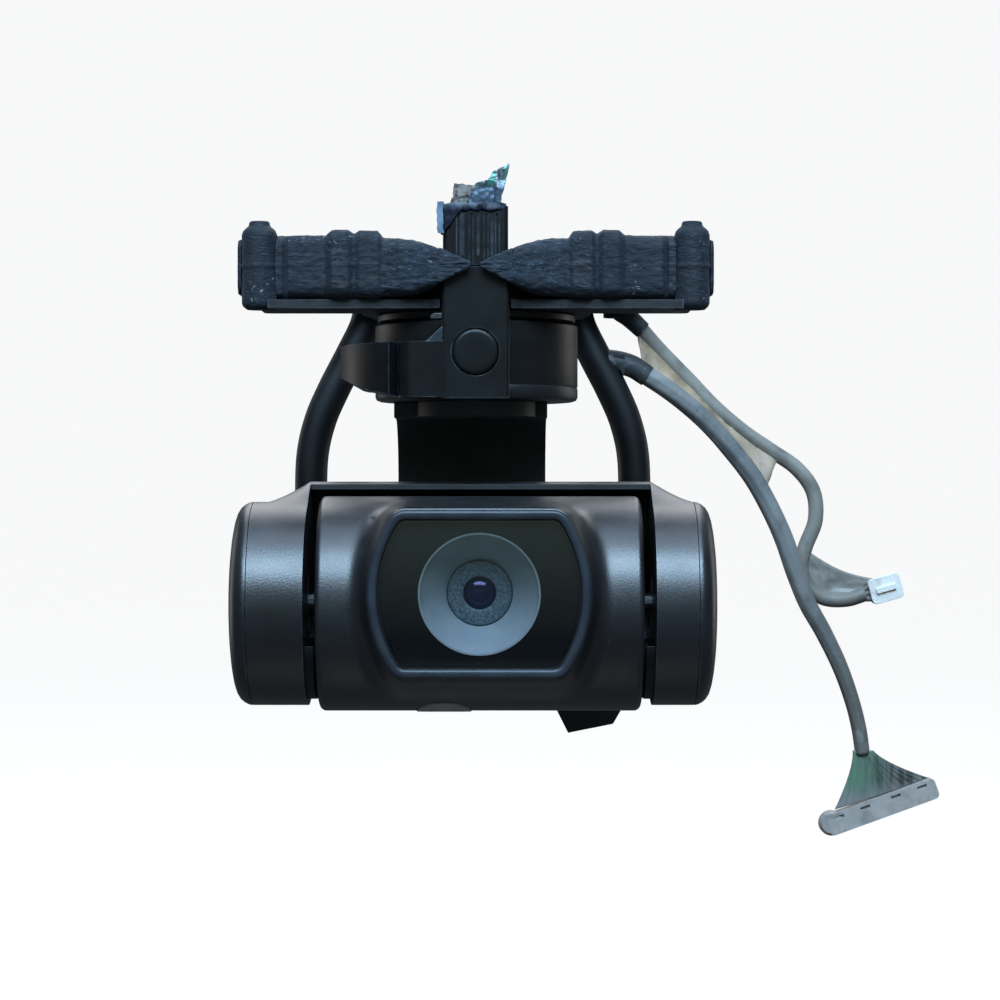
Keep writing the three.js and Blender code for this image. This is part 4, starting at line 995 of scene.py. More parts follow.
def roll_frame():
    low, high = COVER - END_LEFT, END_RIGHT - COVER
    stations = [low, -high] + [-high + (high - SHOULDER_X) * k / 6 for k in range(1, 6)]
    stations += [-SHOULDER_X + 2 * SHOULDER_X * k / 12 for k in range(13)]
    stations += [SHOULDER_X + (high - SHOULDER_X) * k / 6 for k in range(1, 7)]
    body = loft("roll_yoke", [frame_section(x) for x in stations])
    on_axis = (0, TILT_Y, TILT_Z)
    body = add(body, disc("seat", "y", 7.2, 9.8, SEAT_Y, on_axis, 128))
    tools = [
        disc("bore", "x", BAND_IN, -DRUM_IN, DRUM_IN, CAM, 180),
        box("front", (-DRUM_IN, -20, -20), (DRUM_IN, 1.5, 20), CAM),
        box("below", (-DRUM_IN, -20, -20), (DRUM_IN, 20, -6), CAM),
        box("room", (-DRUM_IN, 0, -20), (DRUM_IN, 8.95, -3.7), CAM),
        disc("shaft", "y", 1.05, 5, 15, on_axis),
    ]
    for near, far in ((-22, -DRUM_IN - 0.8), (DRUM_IN + 0.8, 22)):
        tools.append(disc("room", "x", DRUM_R - DRUM_WALL, near, far, CAM, 128))
    for near, far in ((-DRUM_IN - 1.5, 0.5 - DRUM_IN), (DRUM_IN - 0.5, DRUM_IN + 1.5)):
        tools.append(disc("seat", "x", 2.53, near, far, CAM))
    return cut(body, *tools)


dress(soft_edges(roll_frame(), 0.22, 3), "roll_stage", "frame", SHADES["frame"], "roll_frame")


def end_cover(name, side, end):
    """A drum's cap: a faintly domed face, a wide round edge and a scribed seam where it meets the drum."""
    lip = DRUM_R - DRUM_WALL - 0.1
    dome = [(0, -0.3), (1.5, -0.29), (3, -0.25), (4.5, -0.17), (5.6, -0.08), (6.4, 0.03), (7.0, 0.15),
        (7.45, 0.3), (7.8, 0.52), (8.03, 0.79), (8.17, 1.05)]
    seam = [(DRUM_R, COVER - 0.2), (DRUM_R - 0.02, COVER - 0.06), (DRUM_R - 0.09, COVER - 0.03)]
    shape = dome + seam + [(lip, COVER - 0.03), (lip, COVER + 0.1), (0, COVER + 0.1)]
    return creased(lathe(name, "x", [(r, side * (end - depth)) for r, depth in shape], CAM, 200), 50)


def gap_shade_strip(name, side):
    """A dark strip round the lower part of a drum's inner face, which closes the gap beside the camera and
    stands in for the shade there.
    """
    rim = arc(0, 0, DRUM_R - 1.8, 328, 212, 60)
    for i in range(61):
        across = i / 30 - 1
        a = math.radians(270 + 62 * across)
        r = DRUM_R - 0.5 - 1.1 * across**4
        rim.append((r * math.cos(a), r * math.sin(a)))
    near, far = sorted((side * (POD_X + 0.2), side * (DRUM_IN + 0.05)))
    return soft_edges(prism(name, "x", rim, near, far, CAM), 0.1, 2)


# Near-black strips that stand in for shade in the gaps beside the camera.
for side_name, side in SIDES:
    dress(gap_shade_strip(f"{side_name}_gap_shade_strip", side), "roll_stage", "frame", SHADES["mask"])

for side_name, side, end in (("left", -1, END_LEFT), ("right", 1, END_RIGHT)):
    dress(end_cover(f"{side_name}_drum_cap", side, end), "roll_stage", "frame", SHADES["frame"],
        f"{side_name}_end_cover")

# ---------------------------------------------------------------- yaw motor and bracket


def yaw_can():
    """The motor's turning half, open on top, with a fine groove near its lower rim."""
    groove = -12.2
    shape = [(1.25, CAN_BOTTOM), (CAN_R - 0.4, CAN_BOTTOM), (CAN_R - 0.12, CAN_BOTTOM + 0.1),
        (CAN_R, CAN_BOTTOM + 0.35), (CAN_R, groove - 0.1), (CAN_R - 0.07, groove), (CAN_R, groove + 0.1),
        (CAN_R, CAN_TOP - 0.12), (CAN_R - 0.1, CAN_TOP), (7.75, CAN_TOP), (7.7, CAN_TOP - 0.1), (7.7, -12.5),
        (1.25, -12.5)]
    return creased(lathe("yaw_can", "z", shape, turns=180), 35)


def yaw_base():
    """The motor's fixed half: its flange, with a shallow groove round it, and the tube for the bearings."""
    low, high = PLATE_BOTTOM - 2.2, PLATE_BOTTOM - GAP
    shape = [(2.35, -11.3), (2.9, -11.3), (2.9, -6.85), (8.1, -6.85), (8.2, -6.75), (8.2, -6.3), (8.1, -6.2),
        (7.6, -6.2), (7.6, low), (7.52, low + 0.1), (7.6, low + 0.2), (7.6, high), (2.35, high)]
    base = lathe("yaw_base", "z", shape, turns=160)
    return creased(cut(base, *[disc("hole", "z", 0.55, -5.8, 2, at, 24) for at in SCREWS]), 35)


def bracket():
    """The motor's front bracket: a bar, a round-edged corner block and the stop wing on the left."""
    inner = CAN_R + 0.45
    bar = prism("bracket", "z", rounded(-POST_X, POST_Y, POST_X, -inner, 0.28), -13.4, -2.9)
    bar = add(bar, prism("top", "z", rounded(-POST_X, POST_Y, POST_X, -8.2, 0.28), -5, -2.9))
    round_edge = arc(-5, POST_Y + 1.22, 1.2, -90, -180, 12)[1:]
    corner = [(0, POST_Y + 0.02), (-5, POST_Y + 0.02)] + round_edge + [(-6.2, -6.2), (0, -6.2)]
    block = prism("corner", "z", corner[::-1], -13.3, WING_TOP)
    wing = arc(0, 0, WING_R, 180, 232.2, 36) + arc(0, 0, inner, 232.2, 180, 36)
    blade = prism("wing", "z", wing, -13.3, WING_TOP)
    slope = prism("slope", "y", [(-12, -11), (-12, -14), (-6.2, -14), (-6.2, -13.3), (-9.4, -12.45)], -12, 2)
    blade = cut(blade, slope)
    return cut(add(bar, block, blade), disc("room", "z", inner, -20, 0, turns=180))


def bracket_with_pocket():
    """The bracket with a pocket for its round plug and a fine seam beside it."""
    bridge = box("bridge", (-POST_X + 0.3, POST_Y + 0.3, -13.3), (POST_X - 0.3, -CAN_R - 0.45, -5))
    body = add(bracket(), bridge)
    pocket = disc("pocket", "y", PLUG_R + 0.09, POST_Y - 1, POST_Y + 0.5, (0, 0, PLUG_Z), 96)
    seam = box("seam", (POST_X - 0.11, POST_Y - 1, -13.5), (POST_X - 0.05, POST_Y + 0.06, -3))
    return cut(body, pocket, seam)


def bracket_plug():
    shape = [(0, POST_Y - 0.1), (1.0, POST_Y - 0.1), (PLUG_R - 0.3, POST_Y - 0.11),
        (PLUG_R - 0.1, POST_Y - 0.08), (PLUG_R, POST_Y + 0.02), (PLUG_R, POST_Y + 0.45), (0, POST_Y + 0.45)]
    return creased(lathe("round_plug", "y", shape, (0, 0, PLUG_Z), 96), 50)


dress(yaw_can(), "yaw_stage", "motor", SHADES["motor"], "yaw_rotor_can")
dress(yaw_base(), "base", "motor", SHADES["motor"], "yaw_motor_base")
dress(soft_edges(bracket_with_pocket(), 0.13, 2), "base", "bracket", SHADES["bracket"], "yaw_bracket")
dress(bracket_plug(), "base", "bracket", SHADES["bracket"], "bracket_plug")

post_edge = -POST_X + 0.1
triangle = [(-4.0, WING_TOP - 0.05), (post_edge, WING_TOP - 0.05), (post_edge, -7.6)]
gusset = prism("bracket_gusset", "y", triangle, POST_Y + 0.1, POST_Y + 0.6)
dress(soft_edges(gusset, 0.06, 2), "base", "bracket", SHADES["bezel"])
leaf = [(-3.6, -7.1), (post_edge, -7.1), (post_edge, -6.6), (-3.3, -6.6), (-3.6, -6.8)]
small_clip = prism("bracket_clip", "y", leaf, POST_Y + 0.2, POST_Y + 0.9)
dress(soft_edges(small_clip, 0.08, 2), "base", "steel", SHADES["pin"])

# ---------------------------------------------------------------- plates


def damper_plate():
    """The plate that the four posts hold: front arms, a disc, a neck, and a wide tail with two windows."""
    tail = [(-15, 12.6), (15, 12.6), (15, 17.4), (12.6, 19.8), (-12.6, 19.8), (-15, 17.4)]
    plate = disc("carrier_plate", "z", 9.4, PLATE_BOTTOM, PLATE_TOP, turns=128)
    parts = [
        box("arm", (-15, -8, PLATE_BOTTOM), (15, -3, PLATE_TOP)),
        box("arm", (-18.6, -5.4, PLATE_BOTTOM), (18.6, -3, PLATE_TOP)),
        box("neck", (-6.4, 5, PLATE_BOTTOM), (6.4, 17, PLATE_TOP)),
        prism("tail", "z", tail, PLATE_BOTTOM, PLATE_TOP),
        disc("boss", "z", 2.5, PLATE_TOP - 0.2, 0, turns=96),
    ]
    for x in (-5.6, 5.6):
        parts.append(box("rib", (x - 0.5, 6, PLATE_TOP - 0.1), (x + 0.5, 19, PLATE_TOP + 0.8)))
    plate = add(plate, *parts)
    windows = [[(s * 1.1, 10.2), (s * 4.3, 10.2), (s * 4.3, 17), (s * 1.1, 17)][::s] for s in (-1, 1)]
    tools = [prism("slot", "z", window, -5, 0.5) for window in windows]
    tools += [disc("eye", "z", 1.05, -5, 0.5, (s * REAR_POST[0], REAR_POST[1], 0), 40) for s in (-1, 1)]
    tools += [disc("eye", "z", 0.56, -5, 0.5, at, 24) for at in SCREWS]
    tools.append(box("notch", (-POST_X - 0.15, -12, -5), (POST_X + 0.15, -6.4, 0.5)))
    return cut(plate, *tools)


def retaining_plate():
    """The thin strip under the sleeves, with a ring round the yaw motor."""
    low, high = -6.15, -5.45
    body = add(prism("keeper_plate", "z", rounded(-17.4, -8.6, 17.4, -2.2, 0.6), low, high),
        disc("ring", "z", 9.4, low, high, turns=128))
    gate = box("gate", (-POST_X - 0.15, -12, -7), (POST_X + 0.15, -7, -4))
    tools = [disc("hole", "z", 7.8, -7, -4, turns=128), gate]
    tools += [disc("eye", "z", 1.5, -7, -4, (s * FRONT_POST[0], FRONT_POST[1], 0), 48) for s in (-1, 1)]
    return cut(body, *tools)


dress(soft_edges(damper_plate(), 0.16, 2), "base", "plastic", SHADES["plastic"], "damper_plate")
dress(soft_edges(retaining_plate(), 0.12, 2), "base", "plastic", SHADES["dusty"], "retaining_plate")

# ---------------------------------------------------------------- rubber sleeves and posts

# Distance from the middle, then front, back, top and bottom of a sleeve's section there.
SLEEVE = [(0.4, -10.85, -10.35, -2.65, -3.05), (1.5, -10.9, -10.15, -2.1, -3.6),
    (2.9, -10.8, -10.1, -1.5, -4.3), (3.15, -10.75, -4, -1.4, -4.4), (5, -10.2, -2.4, -0.75, -5.1),
    (7.4, -9.5, -2.2, -0.55, -5.25), (7.8, -9.75, -2, 0, SLEEVE_LOW), (9.3, -9.75, -2, 0.05, SLEEVE_LOW),
    (9.7, -9.2, -2.1, -0.2, SLEEVE_LOW), (10.2, -9.75, -2, 0.1, SLEEVE_LOW),
    (11.5, -9.65, -2, 0.05, SLEEVE_LOW), (12, -9.05, -2.2, -0.3, SLEEVE_LOW),
    (15, -9, -2.2, -0.3, SLEEVE_LOW), (15.45, -8.0, -2.2, -0.25, SLEEVE_LOW),
    (18.2, -8.05, -2.2, -0.25, SLEEVE_LOW), (19.15, -7.5, -2.6, -0.6, SLEEVE_LOW + 0.5)]
SEAM_Z = -2.72


def sleeve_size(x):
    for a, b in zip(SLEEVE, SLEEVE[1:]):
        if x <= b[0]:
            t = (x - a[0]) / (b[0] - a[0])
            return [p + (q - p) * t for p, q in zip(a[1:], b[1:])]
    return list(SLEEVE[-1][1:])


def sleeve(name, side):
    """A dry rubber sleeve: banded, fibrous and frayed, with a moulding seam along its front."""
    first, last, step = SLEEVE[0][0], SLEEVE[-1][0], 0.13
    count = int((last - first) / step)
    rings = []
    for k in range(count + 1):
        x = first + (last - first) * k / count
        front, back, top, bottom = sleeve_size(x)
        r = min(0.2 + 0.3 * max(0, x - 2.2), 0.95, (top - bottom) * 0.32, (back - front) * 0.32)
        outline = rounded(front, bottom, back, top, r, 9)
        ring = resample(outline, 150)
        rings.append([(x * side, y, z) for y, z in ring])
    middle = [((min(p[1] for p in ring) + max(p[1] for p in ring)) / 2,
        (min(p[2] for p in ring) + max(p[2] for p in ring)) / 2) for ring in rings]
    rough = []
    for ring, (my, mz) in zip(rings, middle):
        fresh = []
        for x, y, z in ring:
            out = Vector((0, y - my, z - mz))
            out.normalize()
            inner = abs(x) < 7.6
            cell = Vector((x * 1.1, y * 2.2, z * 2.4 + 40 * side))
            fibre = noise.fractal(Vector((x * 1.5 + z * 0.8, y * 3.4, z * 4.6 + 9 * side)), 0.9, 2.1, 5)
            bumps = noise.noise(cell)
            lift = (0.10 if inner else 0.055) * fibre + 0.07 * bumps
            on_front = y < my and abs(z - SEAM_Z) < 0.5
            if on_front:
                off = z - SEAM_Z + 0.08 * noise.noise(Vector((x * 0.8, 3, side)))
                uneven = 0.6 + 0.8 * noise.noise(Vector((x * 1.7, 0.3, side)))
                lift += 0.09 * math.exp(-((off / 0.09) ** 2)) * uneven
            fresh.append((x, y + out.y * lift, z + out.z * lift))
        rough.append(fresh)
    body = loft(name, rough)
    spans = [sorted((a * side, b * side)) for a, b in ((2, 18.9), (2, 15.25))]
    tools = [
        box("cut", (spans[0][0], -5.6, PLATE_BOTTOM - 0.1), (spans[0][1], -2.6, PLATE_TOP + 0.1)),
        box("cut", (spans[1][0], -8.3, PLATE_BOTTOM - 0.1), (spans[1][1], -2.6, PLATE_TOP + 0.1)),
        disc("cut", "z", 1.52, -8, 3, (side * FRONT_POST[0], FRONT_POST[1], 0)),
        disc("cut", "z", 9.5, PLATE_BOTTOM - 0.1, PLATE_TOP + 0.1, turns=96),
        disc("cut", "z", 7.75, -8, PLATE_TOP + 0.65, turns=96),
    ]
    return cut(body, *tools)


def resample(outline, count):
    """The outline again with this many points, evenly spaced, from the same start."""
    loop = outline + outline[:1]
    at = [0.0]
    for a, b in zip(loop, loop[1:]):
        at.append(at[-1] + math.dist(a, b))
    points, k = [], 0
    for i in range(count):
        want = at[-1] * i / count
        while at[k + 1] < want:
            k += 1
        t = (want - at[k]) / max(1e-9, at[k + 1] - at[k])
        points.append(blend(loop[k], loop[k + 1], t))
    return points


def post(name, profile, at, seed):
    """A turned rubber post with a slightly lumpy, chipped surface."""
    fine = []
    for (r0, h0), (r1, h1) in zip(profile, profile[1:]):
        parts = max(1, round(math.dist((r0, h0), (r1, h1)) / 0.14))
        fine += [blend((r0, h0), (r1, h1), k / parts) for k in range(parts)]
    fine.append(profile[-1])
    body = lathe(name, "z", fine, at, 72)
    for v in body.data.vertices:
        p = v.co / MM
        out = Vector((p.x - at[0], p.y - at[1], 0))
        if out.length > 0.3:
            lift = 0.025 * noise.noise(Vector((p.x * 2, p.y * 2, p.z * 2 + seed)))
            lift += 0.012 * noise.noise(p * 7)
            v.co += out.normalized() * lift * MM
    return creased(body, 55)


# Sections of the posts, as radius and height from the bottom up. Both kinds end in the same nub.
NUB = [(0.85, 0.6), (0.82, 0.8), (0.72, POST_TOP), (0, POST_TOP)]
FRONT_SHAPE = [(0, -6.2), (1, -6.2), (1.3, -5.95), (1.42, -5.7), (1.42, -2.95), (1.49, -2.82), (1.49, -2.62),
    (1.42, -2.5), (1.42, -0.2), (1.32, 0.1), (1.15, 0.3), (0.95, 0.45)] + NUB
REAR_SHAPE = [(0, -5.5), (1.2, -5.5), (1.42, -5.2), (1.55, -4.4), (1.3, -3.9), (1, -3.5), (1, -1.3),
    (1.35, -1.1), (1.65, -0.8), (1.6, -0.4), (1.45, 0.1), (1.15, 0.3)] + NUB

for side_name, side in SIDES:
    grip = sleeve(f"{side_name}_rubber_sleeve", side)
    dress(grip, "base", "rubber", SHADES["rubber"], f"{side_name}_damper_sleeve")
    posts = [("front", FRONT_SHAPE, FRONT_POST, side), ("rear", REAR_SHAPE, REAR_POST, side + 5)]
    for end, shape, (x, y), seed in posts:
        stem = post(f"{end}_{side_name}_post", shape, (side * x, y, 0), seed)
        dress(stem, "base", "rubber", SHADES["rubber"], f"{end}_{side_name}_damper")

# ---------------------------------------------------------------- cable tower, torn flex and foil


def tower():
    """The hollow post that carries the flat cable up, with flutes of two widths down its front."""
    rise = 1.9
    body = prism("flex_tower", "z", rounded(-POST_X + 0.1, POST_Y, POST_X - 0.1, -6.6, 0.35), -2.8, rise)
    tools = [box("well", (-1.9, -9.2, -1.8), (1.9, -7.3, rise + 1))]
    wide = [((x, POST_Y - 1, -4), (x + 0.3, POST_Y + 0.12, rise - 0.6)) for x in (-1.5, -0.5, 0.7, 1.6)]
    fine = [((x, POST_Y - 1, -2.0), (x + 0.12, POST_Y + 0.07, rise - 0.3)) for x in (-1.05, 0.15, 1.25)]
    tools += [box("flute", low, high) for low, high in wide + fine]
    return cut(body, *tools)


def torn_sheet(name, corners, depth, seed, crumple):
    """A torn flap: four corners in X and Z, crumpled in depth, with ragged edges."""
    (ax, az), (bx, bz), (cx, cz), (dx, dz) = corners
    nu, nv, thick = 26, 34, 0.07
    sides = []
    for face in (0, 1):
        grid = []
        for j in range(nv + 1):
            v = j / nv
            row = []
            for i in range(nu + 1):
                u = i / nu
                edge = noise.noise(Vector((u * 7, seed, v * 9)))
                w = v + 0.06 * edge * v
                s = u + 0.035 * edge
                x = (ax * (1 - s) + bx * s) * (1 - w) + (dx * (1 - s) + cx * s) * w
                z = (az * (1 - s) + bz * s) * (1 - w) + (dz * (1 - s) + cz * s) * w
                fold = noise.noise(Vector((x * 0.9, seed * 3.1, z * 0.9))) * 1.6
                fine = noise.noise(Vector((x * 3.1 + z, seed, z * 3.3)))
                y = depth + crumple * v**0.5 * (fold + 0.5 * fine) + (thick if face else 0)
                row.append((x, y, z))
            grid.append(row)
        sides.append(grid)
    rings = [front + back[::-1] for front, back in zip(*sides)]
    return loft(name, rings)


def foil_shade():
    """Torn shielding: silver and teal above, dirty blue below, with fine drawn lines."""
    s = Shade("torn_foil")
    lines = s.noise(1500, 2, (5, 1, 0.35), (0, 0.45, 0))
    patch = s.noise(420, 5, warp=0.8)
    low = s.mix(s.spread(patch, 0.38, 0.62), (0.020, 0.036, 0.066), (0.10, 0.145, 0.20))
    high = s.mix(s.spread(lines, 0.38, 0.6), (0.09, 0.115, 0.12), (0.34, 0.39, 0.40))
    teal = s.math("MULTIPLY", s.spread(s.noise(700, 2, (3, 1, 0.5), (0, 0.45, 0)), 0.54, 0.62), 0.85)
    high = s.mix(teal, high, (0.07, 0.36, 0.26))
    color = s.mix(s.along(2, 3.3, 4.2), low, high)
    return s.set(Base_Color=color, Metallic=0.45, Roughness=s.spread(patch, 0.3, 0.7, (0.25, 0.5)),
        Normal=s.bump(lines, 0.6, 0.03, s.bump(s.noise(900, 5), 0.9, 0.08)))


def film_shade():
    """The torn end of the flat cable: dull beige film with near-black streaks, painted shade for its folds.
    """
    s = Shade("torn_film")
    patch = s.noise(520, 5, warp=0.7)
    color = s.mix(s.spread(patch, 0.35, 0.62), (0.05, 0.044, 0.042), (0.23, 0.20, 0.18))
    # Painted shade: near-black streaks that stand for shade in the folds.
    dark = s.spread(s.noise(700, 3, (2, 1, 0.6)), 0.56, 0.64)
    color = s.mix(dark, color, (0.012, 0.012, 0.014))
    return s.set(Base_Color=color, Roughness=s.spread(patch, 0.3, 0.7, (0.4, 0.6)),
        Normal=s.bump(s.noise(1500, 4), 0.8, 0.06))


def tape_shade():
    """Pale blue, wrinkled tape."""
    s = Shade("pale_blue_tape")
    patch = s.noise(600, 4, warp=0.5)
    color = s.mix(s.spread(patch, 0.35, 0.65), (0.10, 0.17, 0.25), (0.20, 0.29, 0.38))
    return s.set(Base_Color=color, Roughness=s.spread(patch, 0.3, 0.7, (0.3, 0.5)),
        Normal=s.bump(s.noise(1800, 3), 0.6, 0.04))


def wrap_shade():
    """The dark, wrinkled blue wrap round the tower's mouth, paler in patches along its upper edge."""
    s = Shade("blue_wrap")
    patch = s.noise(800, 5, warp=0.8)
    color = s.mix(s.spread(patch, 0.4, 0.62), (0.004, 0.007, 0.016), (0.010, 0.016, 0.030))
    # Paler in patches along the upper edge.
    pale_top_edge = s.math("MULTIPLY", s.along(2, 1.55, 2.1), s.spread(s.noise(1100, 4), 0.38, 0.6))
    color = s.mix(pale_top_edge, color, (0.16, 0.19, 0.23))
    return s.set(Base_Color=color, Roughness=s.spread(patch, 0.3, 0.7, (0.5, 0.7)),
        Specular_IOR_Level=0.2, Normal=s.bump(s.noise(1300, 4), 1.0, 0.09))


def wrap():
    """Foil and tape round the tower's mouth: a thin edge on the right, a wrinkled flap down the left."""
    outer = rounded(-POST_X - 0.10, POST_Y - 0.16, POST_X - 0.25, -6.45, 0.5, 8)
    inner = rounded(-POST_X + 0.2, POST_Y + 0.12, POST_X - 0.5, -6.7, 0.38, 8)
    count, rings = 200, []
    levels = [(outer, k / 8) for k in range(9)] + [(inner, 1.1), (inner, 0.6), (inner, 0.0)]
    for shape, level in levels:
        ring = []
        for i, (x, y) in enumerate(resample(shape, count)):
            a = TAU * i / count
            ragged = noise.noise(Vector((math.cos(a) * 3.5, math.sin(a) * 3.5, 2))) + 0.6 * noise.noise(
                Vector((math.cos(a) * 9, math.sin(a) * 9, 5)))
            low = 1.62 - 1.7 * ease(-x, 0.9, 2.5) + 0.3 * ragged
            if shape is inner:
                low = 1.3
            top = 2.08 + 0.14 * ragged
            z = low + (top - low) * level
            out = Vector((x, y + 8.2, 0)).normalized()
            fold = noise.noise(Vector((x * 2.6, y * 2.6, z * 2.2)))
            lift = 0.13 * fold if shape is outer else 0
            ring.append((x + out.x * lift, y + out.y * lift, z))
        rings.append(ring)
    return loft("tower_wrap", rings, "loop")


def tape_tab():
    """A loose tab of tape on the tower's left edge, seen from in front."""
    rings = []
    for k in range(25):
        z = -0.3 + 2.5 * k / 24
        left = -POST_X - 0.36 + 0.14 * noise.noise(Vector((0, 2, z * 1.7)))
        right = left + 0.5 + 0.10 * noise.noise(Vector((4, 1, z * 2.1)))
        y = POST_Y - 0.30 + 0.12 * noise.noise(Vector((7, 3, z)))
        rings.append([(left, y + 0.1, z), (left, y, z), ((left + right) / 2, y - 0.05, z), (right, y, z),
            (right, y + 0.1, z)])
    return loft("tape_tab", rings)


dress(soft_edges(tower(), 0.22, 3), "base", "plastic", SHADES["bracket"], "cable_tower")
foil, torn_film = foil_shade(), film_shade()
flap = torn_sheet("torn_foil_flap", [(-0.7, 1.2), (1.75, 1.3), (2.75, 5.4), (1.35, 4.75)], -8.55, 4.0, 0.16)
dress(flap, "base", "foil", foil)
shelf = torn_sheet("torn_foil_fold", [(-1.2, 1.3), (1.3, 1.3), (1.75, 4.3), (0.0, 3.8)], -8.9, 11.0, 0.16)
dress(shelf, "base", "foil", foil)
stub = torn_sheet("torn_flex_end", [(-2.0, 1.0), (0.4, 1.0), (0.1, 3.7), (-1.75, 3.9)], -8.2, 7.0, 0.2)
dress(stub, "base", "flex", torn_film, "flex_stub")
strip = torn_sheet("torn_flex_strip", [(-2.3, 1.4), (-0.9, 1.2), (-0.5, 2.9), (-1.9, 2.6)], -9.2, 17.0, 0.2)
dress(strip, "base", "flex", torn_film)
dress(wrap(), "base", "foil", wrap_shade(), "foil_tape")
dress(creased(tape_tab(), 50), "base", "foil", tape_shade())

# ---------------------------------------------------------------- guard hoop, foot, clip

# The right half of the hoop, from the plate down, as distance from its middle and height.
HOOP_HALF = [(9.2, -3.7), (9.6, -5.8), (10.8, -8.3), (12.5, -11.6), (13.7, -14.4), (14.4, -17.6), (14.5, -22),
    (14.3, -27), (13, -31.6), (9.8, -35.4), (6, -37.5), (2.2, -38.2)]


def hoop_line():
    left = [(HOOP_X - x, HOOP_Y, z) for x, z in HOOP_HALF]
    right = [(HOOP_X + x, HOOP_Y, z) for x, z in reversed(HOOP_HALF)]
    return smooth_line(left + right, 7)


def foot():
    outline = [(6.6, -35.8), (12.5, -34.6), (12.75, -40.1), (12, -41.4), (8, -42.2), (6.8, -39.8)]
    body = prism("rubber_foot", "y", outline, 15.5, 20.5)
    return cut(body, sweep("room", hoop_line(), HOOP_R + 0.3, 24))


def clip():
    body = box("lead_clip", (10.2, 17, -10.3), (13.1, 20.3, -8.5))
    return cut(body, sweep("room", hoop_line(), HOOP_R + 0.3, 24))


dress(sweep("guard_rod", hoop_line(), HOOP_R, 32), "base", "plastic", SHADES["plastic"], "guard_hoop")
dress(soft_edges(foot(), 0.35, 3), "base", "rubber", SHADES["plastic"], "hoop_foot")
dress(soft_edges(clip(), 0.2, 2), "base", "plastic", SHADES["plastic"], "cable_clip")

# ---------------------------------------------------------------- yaw arm and roll motor


def yaw_arm():
    """The arm from under the yaw motor, round a bend, down to the roll motor's plate."""
    top, under = CAN_BOTTOM - GAP, 1.2
    bend_y, inner_y = 5.5, 5.1
    bend_z = top - (ARM_BACK - bend_y)
    outside = [(-6, top), (bend_y, top)] + arc(bend_y, bend_z, ARM_BACK - bend_y, 90, 0, 24)[1:]
    inside = arc(inner_y, bend_z, ARM_FRONT - inner_y, 0, 90, 24) + [(-6, top - under)]
    profile = outside + [(ARM_BACK, TILT_Z), (ARM_FRONT, TILT_Z)] + inside
    arm = prism("yaw_arm_body", "x", profile[::-1], -7, 7)
    lead = [(-6.9, -13.0), (-6.9, -36.0), (6.9, -36.0), (6.9, -21.9), (5.9, -20.6), (5.9, -13.0)]
    column = prism("column", "y", lead, 7, 20)
    reach = add(disc("tongue", "z", 4.9, -20, -10, turns=96), box("neck", (-4.5, 0, -40), (4.5, 8, -10)),
        box("shoulder", (-6.9, 1, -40), (5.9, 8, -10)), column)
    arm = combined(arm, "INTERSECT", [reach])
    arm = add(arm, disc("plate", "y", 7.4, ARM_FRONT, ARM_BACK, HUB, 128))
    tube_end = ARM_FRONT + 0.2
    arm = add(arm, lathe("tube", "y", [(1.3, 7.7), (1.95, 7.7), (1.95, tube_end), (1.3, tube_end)], HUB, 64))
    bearing_seat, bore = disc("hole", "y", 2.43, 11.4, 14, HUB), disc("hole", "y", 1.3, 7, 14, HUB)
    return cut(arm, bearing_seat, bore, disc("hole", "z", 1.25, -20, -10))


def rear_cover():
    """The roll motor's cover: a shallow ring in its face, a gap for the flat cable, two screw holes."""
    near, face = ARM_BACK + 0.35, ARM_BACK + 1.3
    rim = [(7, near), (7.2, near + 0.25), (7.12, near + 0.5), (6.95, near + 0.7), (6.6, face)]
    shape = [(0, near)] + rim + [(5.0, face), (4.9, face - 0.12), (4.6, face - 0.12), (4.5, face), (0, face)]
    cover = lathe("motor_rear_cover", "y", shape, HUB, 140)
    tools = [box("flex", (-2.6, 10, 5.8), (2.6, ARM_BACK + 0.7, 9), HUB)]
    tools += [disc("hole", "y", 0.55, 10, 20, (s * 5.5, 0, TILT_Z), 24) for s in (-1, 1)]
    return creased(cut(cover, *tools), 35)


def roll_rotor():
    """The roll motor's turning cup, which sits on the roll frame's seat."""
    shape = [(1.03, SEAT_Y + GAP), (7.4, SEAT_Y + GAP), (7.5, SEAT_Y + GAP + 0.1), (7.5, 15.2), (7.42, 15.3),
        (6.9, 15.3), (6.9, SEAT_Y + 0.7), (1.03, SEAT_Y + 0.7)]
    return creased(lathe("roll_can", "y", shape, (0, TILT_Y, TILT_Z), 140), 35)


dress(soft_edges(yaw_arm(), 0.2, 2), "yaw_stage", "plastic", SHADES["arm"], "yaw_arm")
dress(rear_cover(), "yaw_stage", "plastic", SHADES["plastic"], "roll_rear_cover")
dress(roll_rotor(), "roll_stage", "motor", SHADES["motor"], "roll_rotor")

# ---------------------------------------------------------------- CAD nodes that stay as they are

slots = {entry["node"]: entry["material_slot"] for entry in frame["record"]["subparts"]}
for node_name, node in frame["nodes"].items():
    if node.hide_render:
        continue
    slot = slots[node_name]
    node.data.materials.clear()
    look = {"lens_holder": "lens_holder", "tilt_shaft": "pin", "pivot_pin": "pin"}.get(node_name, slot)
    node.data.materials.append(SHADES[look])
    soft_edges(node, 0.05, 2, 40)

# ---------------------------------------------------------------- studio

FLOOR_Z = -78.0


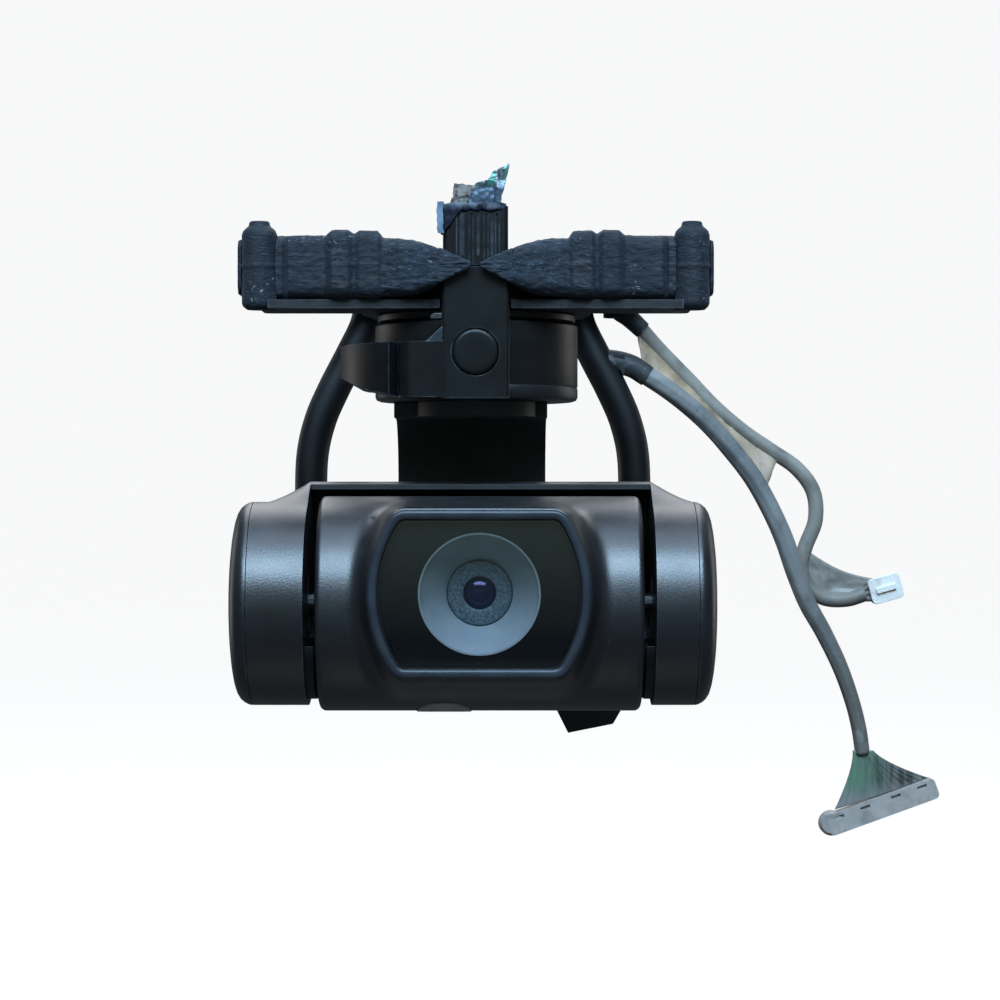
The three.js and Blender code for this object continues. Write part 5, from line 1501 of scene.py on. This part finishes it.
def cove():
    """A pale floor that curves up into walls and a ceiling. It only shows; it lights nothing."""
    reach, corner, high = 1500.0, 500.0, 1500.0
    turns = [math.pi / 2 * k / 12 for k in range(13)]
    inset = reach - corner
    profile = [(0, 0)] + [(inset + corner * math.sin(a), corner - corner * math.cos(a)) for a in turns]
    profile += [(reach, high - corner)]
    profile += [(inset + corner * math.cos(a), high - corner + corner * math.sin(a)) for a in turns]
    profile += [(0, high)]
    outside = [(r * 1.01, (z - high / 2) * 1.01 + high / 2) for r, z in reversed(profile)]
    piece = lathe("cove", "z", profile + outside, (0, 0, FLOOR_Z), 96)
    s = Shade("pale_floor")
    tone = s.noise(4, 2)
    s.set(Base_Color=s.mix(tone, (0.04, 0.04, 0.04), (0.05, 0.05, 0.05)), Roughness=0.9,
        Emission_Color=(0.93, 0.933, 0.937), Emission_Strength=1.0)
    piece.data.materials.append(s.material)
    for ray in ("visible_diffuse", "visible_glossy", "visible_transmission", "visible_shadow"):
        setattr(piece, ray, False)


def softbox(name, size, power, color, azimuth, elevation, distance):
    """A soft light that looks at the object's middle from a direction in degrees: 0, 0 is the camera's."""
    aim = Vector((0, -4, -26))
    light = bpy.data.lights.new(name, "AREA")
    light.shape = "RECTANGLE"
    light.size, light.size_y = size[0] * MM, size[1] * MM
    light.energy = power
    light.color = color
    lamp = bpy.data.objects.new(name, light)
    a, e = math.radians(azimuth), math.radians(elevation)
    back = Vector((math.sin(a) * math.cos(e), -math.cos(a) * math.cos(e), math.sin(e)))
    lamp.location = (aim + back * distance) * MM
    lamp.rotation_euler = (-back).to_track_quat("-Z", "Y").to_euler()
    lamp.visible_camera = False
    bpy.context.scene.collection.objects.link(lamp)


def far_card():
    """A dim greenish board far in front, which the flat window mirrors in its upper part."""
    y, fade, high, half = -820.0, -52.0, 150.0, 420
    piece = box("far_card", (-half, y - 5, fade - 30), (half, y, high))
    s = Shade("far_card")
    glow = s.mix(s.along(2, fade - 22, fade + 22), (0, 0, 0), (0.23, 0.33, 0.29))
    s.set(Base_Color=(0.0, 0.0, 0.0), Roughness=1.0, Emission_Color=glow, Emission_Strength=1.0)
    piece.data.materials.append(s.material)
    piece.visible_camera = False
    piece.visible_shadow = False


cove()
far_card()
softbox("key", (420, 230), 4.0, (0.53, 0.76, 1.0), 0, 44, 480)
softbox("sky", (420, 240), 0.75, (0.62, 0.78, 1.0), 0, 78, 480)
softbox("top", (420, 240), 0.55, (0.82, 0.91, 1.0), 0, 116, 480)
softbox("left", (200, 300), 0.17, (1.0, 0.96, 0.90), -128, 8, 480)
softbox("right", (200, 300), 0.17, (1.0, 0.96, 0.90), 128, 8, 480)
softbox("under", (70, 240), 0.02, (1.0, 0.95, 0.88), 0, -78, 420)
softbox("rear", (420, 300), 1.0, (0.95, 0.97, 1.0), 180, 40, 520)

world = bpy.data.worlds.new("room")
world.use_nodes = True
room = world.node_tree.nodes["Background"]
room.inputs["Color"].default_value = (0.75, 0.85, 1.0, 1)
room.inputs["Strength"].default_value = 0.10
bpy.context.scene.world = world
